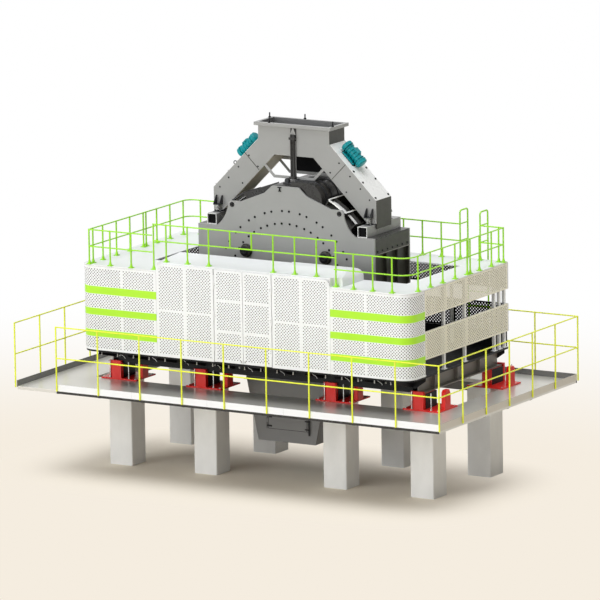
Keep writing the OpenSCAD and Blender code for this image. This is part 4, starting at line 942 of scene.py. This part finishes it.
def vibration_motors():
    """Teal motors: a finned body between two covers, on feet, with a terminal box."""
    body, dark = Shape(), Shape()
    along, rise = 0.437, 0.016
    half, radius, cover, fins = 0.19, 0.11, 0.09, 5
    fin = [(radius + 0.006, 0), (radius + 0.010, 0.003), (radius + 0.010, 0.013), (radius + 0.006, 0.016)]
    dome = [(radius + 0.018, 0), (radius + 0.018, 0.018), (radius + 0.012, 0.022),
            (radius + 0.012, cover * 0.75), (radius - 0.006, cover * 0.95), (radius * 0.6, cover),
            (radius * 0.25, cover)]
    for sign in (-1, 1):
        down = Vector((sign * SLOPE, 0, -SLOPE))
        out = Vector((sign * SLOPE, 0, SLOPE))
        centre = Vector(on_leg(sign, along, 0.0, rise + radius + 0.01))
        body.lathe(centre - down * half, down, [(radius * 0.9, 0), (radius * 0.9, 2 * half)], 32)
        for k in range(fins):
            body.lathe(centre + down * (-half + (k + 0.5) * 2 * half / fins - 0.008), down, fin, 32)
        body.block(centre, (down, Y, out), ((-0.07, 0.07), (-0.06, 0.06), (0.09, 0.128)))
        for way in (-1, 1):
            start = centre + down * way * half
            body.lathe(start, down * way, dome, 32)
            for a, b in ring(radius + 0.006, 6, math.radians(30)):
                dark.bolt(start + Y * a + out * b + down * way * 0.018, down * way, 0.008, False)
            body.block(centre, (down, Y * way, out), ((-0.17, 0.17), (0.04, 0.135), (-0.13, -0.09)))
            for a in (-0.13, 0.13):
                dark.bolt(centre + down * a + Y * way * 0.118 - out * 0.09, out, 0.012)
    body.made("vibration_motors", TEAL, slot="teal_paint", replaces=["motors"], bevel=0.003)
    dark.made("motor_bolts", BLACK_AND_SHADE, slot="dark_steel")


leg_sheen_plates()
chute_fittings()
spring_sets()
vibration_motors()


# Details of the platform and the base

def lengths(start, end):
    """A run cut into equal lengths of about two bays."""
    marks = steps(start, end, 2 * GUARD_BAY)
    return zip(marks, marks[1:])


def toe_painted_light_strips():
    """White outer faces on the toe boards as painted reflection of the bright surroundings, a duller one on
    the right as painted shade, and a dark edge under the long ones.
    """
    shape, end, edge = Shape(), Shape(), Shape()
    (x0, y0, z0), (x1, y1, z1) = span("toe_boards")
    deck_low, deck_high = span("deck")
    th, joint = 0.002, 0.0015
    runs = ((access_x - GUARD_POST, y0, y0 - th, deck_low.y), (x0 - th, y1, y1 + th, deck_high.y))
    for start, face, out, rim in runs:
        for a, b in lengths(start, x1 + th):
            shape.box((a + joint, face, z0), (b - joint, out, z1))
            edge.box((a + joint, rim, deck_low.z), (b - joint, out, z0))
    for a, b in lengths(y0, y1):
        shape.box((x0 - th, a + joint, z0), (x0, b - joint, z1))
        end.box((x1, a + joint, z0), (x1 + th, b - joint, z1))
    shape.made("toe_painted_light_strips", WHITE, slot="white_paint")
    end.made("toe_shade_strip_right", TOE_SHADE, slot="white_paint")
    edge.made("toe_edges", CASING, slot="dark_steel")


base_front_y = span("base_ends")[0].y
base_back_y = span("base_ends")[1].y
base_bottom = span("base_ends")[0].z
base_top = span("base_ends")[1].z
COLUMNS = (-3.58, -1.54, 1.54, 3.58)
PED_LEFT = 0.29
PED_RIGHT = 0.56
PED_REACH = 0.075
PED_INNER = 0.685
PED_PLATE = 0.03
SEAT = (-0.04, 0.19)
SEAT_DEPTH = (0.02, 0.48)


def pedestal_details():
    """Anchor bolts beside each post, short bolts in the foot plates, and dark plates on the seats as painted
    shade under the base.
    """
    zinc, dark = Shape(), Shape()
    low = deck_top + PED_PLATE
    plate, inset = 0.003, 0.05
    anchor = [(0.022, 0), (0.022, 0.008), (0.011, 0.009), (0.011, 0.352), (0.007, 0.358)]
    nuts = ([(0.019, 0.008), (0.019, 0.030)],
            [(0.024, 0.26), (0.024, 0.266), (0.018, 0.267), (0.018, 0.288)])
    for cx in COLUMNS:
        for face, side in ((base_front_y, -1), (base_back_y, 1)):
            for x in (cx - 0.085, cx + 0.36):
                at = (x, face + side * inset, low)
                zinc.lathe(at, Z, anchor, 10)
                for nut in nuts:
                    zinc.lathe(at, Z, nut, 6)
            for x in (cx - PED_LEFT + inset, cx + PED_RIGHT - inset):
                for y in (face + side * (PED_REACH - 0.035), face - side * (PED_INNER - inset)):
                    zinc.bolt((x, y, low), Z, 0.013)
            near, far = (face - side * depth for depth in SEAT_DEPTH)
            for x in (cx + SEAT[0] - plate, cx + SEAT[1]):
                dark.box((x, near, low), (x + plate, far, base_bottom))
    zinc.made("anchor_bolts", ZINC, slot="red_paint")
    dark.made("seat_shade_plates", BLACK_AND_SHADE, slot="dark_steel")


def base_fittings():
    """Hanging studs, short thin cables and bolts along the front of the base."""
    studs, cables, bolts = Shape(), Shape(), Shape()
    low = span("base_deck")[0].z
    y = wall_front + 0.10
    first, stud_pitch, bolt_pitch = -3.45, 0.38, 0.575
    stud = [(0.018, 0), (0.018, 0.01), (0.010, 0.012), (0.010, 0.06), (0.015, 0.062), (0.015, 0.08)]
    bend = ((0.0, 0.0), (0.01, 0.025), (0.035, 0.045), (0.075, 0.06), (0.10, 0.08), (0.12, 0.11))
    for k in range(19):
        x = first + stud_pitch * k
        studs.lathe((x, y, low), -Z, stud, 8)
        if k % 2:
            cables.tube([(x + 0.05 + a, y + 0.02, low - b) for a, b in bend], 0.004, 6)
    for k in range(13):
        bolts.bolt((first + bolt_pitch * k, base_front_y - 0.012, base_bottom + 0.15), -Y, 0.014)
    studs.made("base_studs", ZINC, slot="dark_steel")
    cables.made("base_cables", PALE_AND_SHEEN, slot="dark_steel")
    bolts.made("apron_bolts", ZINC, slot="dark_steel")


def post_feet():
    """Small plates and bolts at the feet of the side posts."""
    shape = Shape()
    foot = span("enclosure_posts")[0].z
    plate, half = 0.012, 0.07
    for sign in (-1, 1):
        x = sign * (wall_half - PAN - 0.03)
        for y in (-1.48, *SIDE_SEAMS, 1.44, 1.65, 1.86):
            shape.box((x - sign * 0.05, y - half, foot), (x + sign * 0.045, y + half, foot + plate))
            for dy in (-0.05, 0.05):
                shape.bolt((x, y + dy, foot + plate), Z, 0.010)
    shape.made("post_feet", WHITE, slot="white_paint", bevel=0.002)


toe_painted_light_strips()
pedestal_details()
base_fittings()
post_feet()


# Details of the discharge hopper and its hatch

def discharge_details():
    """A bolted flange round the hopper."""
    flange, bolts = Shape(), Shape()
    z, face, back = 1.93, -0.42, 1.08
    low, low_half, top, top_half = 0.68, 0.68, 2.26, 1.01
    half = low_half + (top_half - low_half) * (z - low) / (top - low)
    wide, thick, inset, head = 0.05, 0.014, 0.026, 0.015
    long_count, end_count, end_gap = 17, 13, 0.06
    for y, side in ((face, -1), (back, 1)):
        flange.box((-half - wide, y, z), (half + wide, y + side * wide, z + thick))
        for k in range(long_count):
            x = -half + 2 * half * k / (long_count - 1)
            bolts.bolt((x, y + side * inset, z + thick), Z, head)
    for s in (-1, 1):
        flange.box((s * half, face, z), (s * (half + wide), back, z + thick))
        for k in range(end_count):
            y = face + end_gap + (back - face - 2 * end_gap) * k / (end_count - 1)
            bolts.bolt((s * (half + inset), y, z + thick), Z, head)
    flange.made("hopper_flange", HOPPER_GREY, slot="grey_paint", bevel=0.002)
    bolts.made("hopper_flange_bolts", BLACK_AND_SHADE, slot="dark_steel")


def hatch_details():
    """A rim line, hinge straps and an upright clamp bar on the hatch."""
    low, high = span("hatch")
    left = -0.45
    right, z0, z1 = high.x, low.z, high.z
    y = -0.438
    dark = Shape()
    inset, line = 0.02, 0.008
    for z in (z0 + inset, z1 - inset - line):
        dark.box((left + inset, y - 0.002, z), (right - inset, y, z + line))
    for x in (left + inset, right - inset - line):
        dark.box((x, y - 0.002, z0 + inset + line), (x + line, y, z1 - inset - line))
    for z in (z0 + 0.08, z1 - 0.08):
        dark.box((left - 0.012, y - 0.006, z - 0.018), (left + 0.11, y, z + 0.018))
        for x in (left + 0.04, left + 0.085):
            dark.bolt((x, y - 0.006, z), -Y, 0.008)
    clamp = right + 0.05
    dark.box((clamp - 0.012, y - 0.024, z0 - 0.05), (clamp + 0.012, y - 0.006, z1 - 0.03))
    for z in (z0 + 0.07, z1 - 0.11):
        dark.box((right - 0.06, y - 0.006, z - 0.012), (clamp + 0.012, y, z + 0.012))
        dark.bolt((right - 0.04, y - 0.006, z), -Y, 0.008)
    dark.made("hatch_fittings", BLACK_AND_SHADE, "hatch", "dark_steel")


discharge_details()
hatch_details()


# More of the crusher and the chute

CASING_R = 1.90
SLOPE_H = 0.20
SLOPE_RIB = 0.26
SLOPE_FROM = 42.0
SLOPE_MID = 50.5
SLOPE_TO = 62.5
WEB_HALF = 0.445
WEB_LOW = 6.15
LEG_FLOOR = (0.46, 6.56)
plate_in_front = crush_front + 0.04
plate_in_back = crush_back - 0.04


def on_casing(sign, angle, y, rise):
    """A place over the casing, at an angle up from level in radians."""
    reach = CASING_R + rise
    return (sign * reach * math.cos(angle), y, AXIS_Z + reach * math.sin(angle))


def slope_sheen_plates():
    """Pale plates between the ribs on the slopes of the casing, as painted reflection, with an edge along the
    ribs that is dark on the left as painted shade and pale on the right as painted reflection.
    """
    plates = Shape()
    gap, thin, wide, lip, step = 0.010, 0.008, 0.21, 0.016, 0.03
    top = SLOPE_RIB + 0.01
    # The same edges take a dark paint on the left, painted shade, and a pale one on the right, painted
    # reflection.
    for side, sign, finish in (("left", -1, DARK), ("right", 1, PALE_AND_SHEEN)):
        edges = Shape()

        def place(u, v, d):
            return on_casing(sign, u, v, d)

        for low, high in ((SLOPE_FROM, SLOPE_MID), (SLOPE_MID, SLOPE_TO)):
            us = steps(math.radians(low) + gap, math.radians(high) - gap, step)
            for y in (CHUTE_FRONT - 0.16, CHUTE_BACK - 0.05):
                plates.slab(place, us, [y, y + wide], (SLOPE_H - thin, SLOPE_H))
        ribs = [math.radians(SLOPE_MID), math.radians(SLOPE_TO)]
        for a in ribs:
            edges.slab(place, [a - 0.006, a + 0.006], [plate_in_front + lip, chute_mid], (SLOPE_RIB, top))
        edges.slab(place, steps(*ribs, step), [plate_in_front + 0.002, plate_in_front + lip],
                   (SLOPE_RIB - 0.02, top))
        edges.made(f"slope_edges_{side}", finish, slot="grey_paint", angle=25)
    plates.made("slope_sheen_plates", PALE_AND_SHEEN, slot="grey_paint", angle=25)


def crest_cover():
    """A dark rounded cover beside the crest, with hoops round it."""
    shape, hoops = Shape(), Shape()
    foot, shoulder, left, right, round_left = 5.60, 6.00, 0.10, 0.84, 0.08
    line = [(left, foot), (left, shoulder)] + arc(left + round_left, shoulder, round_left, 180, 90, 5)
    line += arc(0.50, 5.74, 0.34, 90, 8, 12) + [(right, foot)]
    shape.prism(line, "y", plate_in_front, plate_in_back)
    raised = [(x + 0.012 * (x > 0.3), z + 0.015) for x, z in line]
    for y in (-0.12, 0.10, 0.36, 0.70):
        hoops.prism(raised, "y", y, y + 0.05)
    shape.made("crest_cover", CASING, slot="dark_steel", bevel=0.004)
    hoops.made("crest_hoops", DARK, slot="dark_steel", bevel=0.003)


def crusher_details():
    """Rims round the ear holes, a lug at the crest, lips and bolts on the end walls."""
    dark, grey = Shape(), Shape()
    ear_x, ear_z, ear_r = 1.27, 5.522, 0.043
    lug = ((-0.175, 5.955, -0.08, 5.972), (-0.138, 5.895, -0.117, 5.955), (-0.16, 5.880, -0.095, 5.895))
    for y, axis in ((crush_front, -Y), (crush_back, Y)):
        for sign in (-1, 1):
            rim = [(sign * ear_x + a, y + axis.y * 0.002, ear_z + b) for a, b in ring(ear_r, 24)]
            dark.tube(rim, 0.010, 8, True)
        for x0, z0, x1, z1 in lug:
            dark.box((x0, y, z0), (x1, y + axis.y * 0.02, z1))
    end, low = span("crusher_ends")[1].x, 4.72
    for sign in (-1, 1):
        grey.box((sign * end, plate_in_front, low), (sign * (end + 0.012), plate_in_back, low + 0.02))
        for k in range(7):
            y = plate_in_front + 0.08 + k * 0.2
            for z in (low + 0.07, base_top + 0.04):
                dark.bolt((sign * end, y, z), X * sign, 0.016)
    dark.made("crusher_fittings", BLACK_AND_SHADE, slot="dark_steel")
    grey.made("crusher_lips", BEAM_GREY, slot="grey_paint", bevel=0.002)


def painted_shade_and_rims():
    """A grey skin darkening the hopper's inner faces and a dark web behind its arch, as painted shade; dark
    plugs in the tube ends as painted shade, with pale rims as painted highlights.
    """
    dark, grey, rims = Shape(), Shape(), Shape()
    wall, skin, foot, deep = 0.012, 0.003, 6.58, 0.05
    x, y0, y1 = hopper_half - wall, CHUTE_FRONT + wall, CHUTE_BACK - wall
    for y in (y0, y1 - skin):
        grey.box((-x, y, foot), (x, y + skin, flange_top))
    for a in (-x, x - skin):
        grey.box((a, y0 + skin, foot), (a + skin, y1 - skin, flange_top))
    dark.box((-WEB_HALF, y1 - skin, WEB_LOW), (WEB_HALF, y1, foot - 0.03))
    low, high = span("tube_beams")
    for left in (-high.x, high.x - TUBE):
        right = left + TUBE
        for y in (low.y + deep, high.y - deep):
            dark.box((left + wall, y - skin, low.z + wall), (right - wall, y, high.z - wall))
        for y in (low.y - skin, high.y):
            for z in (low.z, high.z - wall):
                rims.box((left, y, z), (right, y + skin, z + wall))
            for a in (left, right - wall):
                rims.box((a, y, low.z + wall), (a + wall, y + skin, high.z - wall))
    dark.made("painted_shade_plates", SHADE_LINER, slot="dark_steel")
    grey.made("hopper_shade_skin", HOPPER_GREY, slot="grey_paint")
    rims.made("tube_rim_highlights", PALE_AND_SHEEN, slot="grey_paint")


def bounce_light_plates():
    """Pale beige plates on the undersides of the legs: painted bounce light from the floor and roof."""
    shape = Shape()
    half = (CHUTE_BACK - CHUTE_FRONT) / 2 - 0.012
    length = (LEG_FLOOR[1] - span("chute_front")[0].z) / SLOPE
    for sign in (-1, 1):
        def place(u, v, d):
            return (sign * (LEG_FLOOR[0] + SLOPE * (u + d)), chute_mid + v, LEG_FLOOR[1] - SLOPE * (u - d))

        shape.slab(place, [0.03, length - 0.05], [-half, half], (-0.004, 0))
    shape.made("leg_bounce_light", BOUNCE_PAINT, slot="grey_paint", bevel=0.001)


def strut_head():
    """Pale edges on the strut and a pointed head."""
    shape = Shape()
    low, high = span("chute_strut")
    face, edge = CHUTE_FRONT - 0.014, 0.012
    edge_top, top, head = 6.88, 7.14, 0.13
    for a in (low.x, high.x - edge):
        shape.box((a, face - 0.003, low.z + 0.06), (a + edge, face, edge_top))
    point = [(low.x, top - head), (high.x, top - head), (edge, top), (-edge, top)]
    shape.prism(point, "y", face - 0.012, face)
    shape.made("strut_edges", GREY, slot="grey_paint", bevel=0.002)


slope_sheen_plates()
crest_cover()
crusher_details()
painted_shade_and_rims()
bounce_light_plates()
strut_head()


# Stage, light and camera

FLOOR_SIZE = 400.0
FLOOR_NEAR = (0.965, 0.93, 0.865)
FLOOR_SEEN = (0.961, 0.929, 0.878)
# A box under the object, set towards the front, and the distances beyond it over which the floor turns to a
# painted glow that hides the cast shadow.
SHADOW_CENTRE = (0.0, -0.6, 0.0)
SHADOW_CORE = (3.0, 0.5, 1.0)
SHADOW_FADE = (0.2, 3.2)
WHITE_CENTRE = (2.0, -9.0, 0.0)
WHITE_FADE = (12.0, 28.0)


def fade(graph, vector, ends):
    """From none to all, as the length of a vector goes between two distances."""
    reach = graph.node("ShaderNodeVectorMath", operation="LENGTH")
    graph.join(vector, reach.inputs[0])
    made = graph.node("ShaderNodeMapRange", interpolation_type="SMOOTHSTEP")
    made.inputs["From Min"].default_value, made.inputs["From Max"].default_value = ends
    graph.join(reach.outputs["Value"], made.inputs["Value"])
    return made.outputs["Result"]


def offset(graph, vector, operation, amount):
    """A vector changed by a fixed one."""
    made = graph.node("ShaderNodeVectorMath", operation=operation)
    graph.join(vector, made.inputs[0])
    made.inputs[1].default_value = amount
    return made.outputs["Vector"]


def floor():
    """A pale floor with the lit shadow kept in a box under the object. Outside the box it glows in its own
    colour for camera, glossy and transmission rays, a painted glow hiding the cast shadow, and far off it
    runs out to white.
    """
    shape = Shape()
    shape.box((-FLOOR_SIZE, -FLOOR_SIZE, -0.5), (FLOOR_SIZE, FLOOR_SIZE, -0.001))
    graph = Graph("studio_floor")
    graph.shader.inputs["Roughness"].default_value = 0.9
    graph.shader.inputs["Specular IOR Level"].default_value = 0.1
    tone = linear(FLOOR_NEAR)
    stops = [(NOISE_LOW, scaled(tone, 0.985)), (NOISE_HIGH, scaled(tone, 1.0))]
    graph.join(graph.ramp(graph.noise(0.4), stops), graph.shader.inputs["Base Color"])
    beside = offset(graph, graph.place, "SUBTRACT", SHADOW_CENTRE)
    beside = offset(graph, offset(graph, beside, "ABSOLUTE", (0, 0, 0)), "SUBTRACT", SHADOW_CORE)
    shadow_painted_out = fade(graph, offset(graph, beside, "MAXIMUM", (0, 0, 0)), SHADOW_FADE)
    far = fade(graph, offset(graph, graph.place, "SUBTRACT", WHITE_CENTRE), WHITE_FADE)
    share = graph.node("ShaderNodeMath", operation="MULTIPLY")
    graph.join(shadow_painted_out, share.inputs[0])
    graph.join(seen_rays(graph), share.inputs[1])
    painted_glow = graph.node("ShaderNodeEmission")
    stops = [(0.0, scaled(linear(FLOOR_SEEN), 1.0)), (1.0, (1, 1, 1, 1))]
    graph.join(graph.ramp(far, stops), painted_glow.inputs["Color"])
    mix = graph.node("ShaderNodeMixShader")
    graph.join(share.outputs["Value"], mix.inputs["Fac"])
    graph.join(graph.shader.outputs["BSDF"], mix.inputs[1])
    graph.join(painted_glow.outputs["Emission"], mix.inputs[2])
    graph.join(mix.outputs["Shader"], graph.tree.nodes["Material Output"].inputs["Surface"])
    mesh = bpy.data.meshes.new("floor")
    mesh.from_pydata(shape.verts, [], shape.faces)
    mesh.materials.append(graph.material)
    made = bpy.data.objects.new("floor", mesh)
    bpy.context.scene.collection.objects.link(made)


def seen_rays(graph):
    """One for rays that show the background: camera, glossy and transmission rays."""
    path = graph.node("ShaderNodeLightPath")
    total = None
    for name in ("Is Camera Ray", "Is Glossy Ray", "Is Transmission Ray"):
        if total is None:
            total = path.outputs[name]
            continue
        both = graph.node("ShaderNodeMath", operation="MAXIMUM")
        graph.join(total, both.inputs[0])
        graph.join(path.outputs[name], both.inputs[1])
        total = both.outputs["Value"]
    return total


FILL = 0.26
FILL_COLOUR = (1.0, 0.995, 0.985, 1.0)
LAMP_COLOUR = (0.965, 0.985, 1.0)
# Each lamp's name, strength, direction it comes from and angle it fills
LAMPS = (("key", 2.05, Vector((-0.36, -0.92, 0.13)), 60.0), ("top", 2.1, Vector((0.06, -0.16, 0.98)), 48.0))


class WorldGraph(Graph):
    """The same short calls for the world's node tree."""

    def __init__(self, world):
        world.use_nodes = True
        self.tree = world.node_tree


def light():
    """A soft key from the front left, one from above and an even fill."""
    world = bpy.context.scene.world or bpy.data.worlds.new("studio")
    bpy.context.scene.world = world
    graph = WorldGraph(world)
    back = graph.tree.nodes["Background"]
    strength = graph.node("ShaderNodeMix")
    graph.join(seen_rays(graph), strength.inputs["Factor"])
    strength.inputs["A"].default_value = FILL
    strength.inputs["B"].default_value = 1.0
    graph.join(strength.outputs["Result"], back.inputs["Strength"])
    back.inputs["Color"].default_value = FILL_COLOUR
    for name, power, source, size in LAMPS:
        lamp = bpy.data.lights.new(name, "SUN")
        lamp.energy = power
        lamp.color = LAMP_COLOUR
        lamp.angle = math.radians(size)
        sun = bpy.data.objects.new(name, lamp)
        sun.rotation_euler = source.to_track_quat("Z", "Y").to_euler()
        bpy.context.scene.collection.objects.link(sun)


AZIMUTH = math.radians(30.873)
ELEVATION = math.radians(11.292)
ROLL = math.radians(-0.869)
TARGET = Vector((0, 0, 2.5))
TARGET_PIXEL = (296.238, 351.679)
DISTANCE = 159.203
FOCAL_PIXELS = 7770.7
FRAME_PIXELS = 600
SENSOR = 36.0


def camera():
    """The photograph's camera: far away with a long lens, aimed at the middle of its frame."""
    level = Vector((math.cos(AZIMUTH), math.sin(AZIMUTH), 0))
    back = level.cross(Z) * math.cos(ELEVATION) + Z * math.sin(ELEVATION)
    upright = back.cross(level)
    right = level * math.cos(ROLL) + upright * math.sin(ROLL)
    up = upright * math.cos(ROLL) - level * math.sin(ROLL)
    half = FRAME_PIXELS / 2
    aim = right * (half - TARGET_PIXEL[0]) + up * (TARGET_PIXEL[1] - half) - back * FOCAL_PIXELS
    depth = -aim.normalized()
    right = up.cross(depth).normalized()
    up = depth.cross(right)
    data = bpy.data.cameras.new("camera")
    data.sensor_width = SENSOR
    data.lens = FOCAL_PIXELS / FRAME_PIXELS * SENSOR
    data.clip_start, data.clip_end = 1.0, 1000.0
    made = bpy.data.objects.new("camera", data)
    turn = Matrix((right, up, depth)).transposed().to_4x4()
    made.matrix_world = Matrix.Translation(TARGET + back * DISTANCE) @ turn
    bpy.context.scene.collection.objects.link(made)
    bpy.context.scene.camera = made


floor()
light()
camera()
bpy.context.scene.view_settings.view_transform = "Standard"
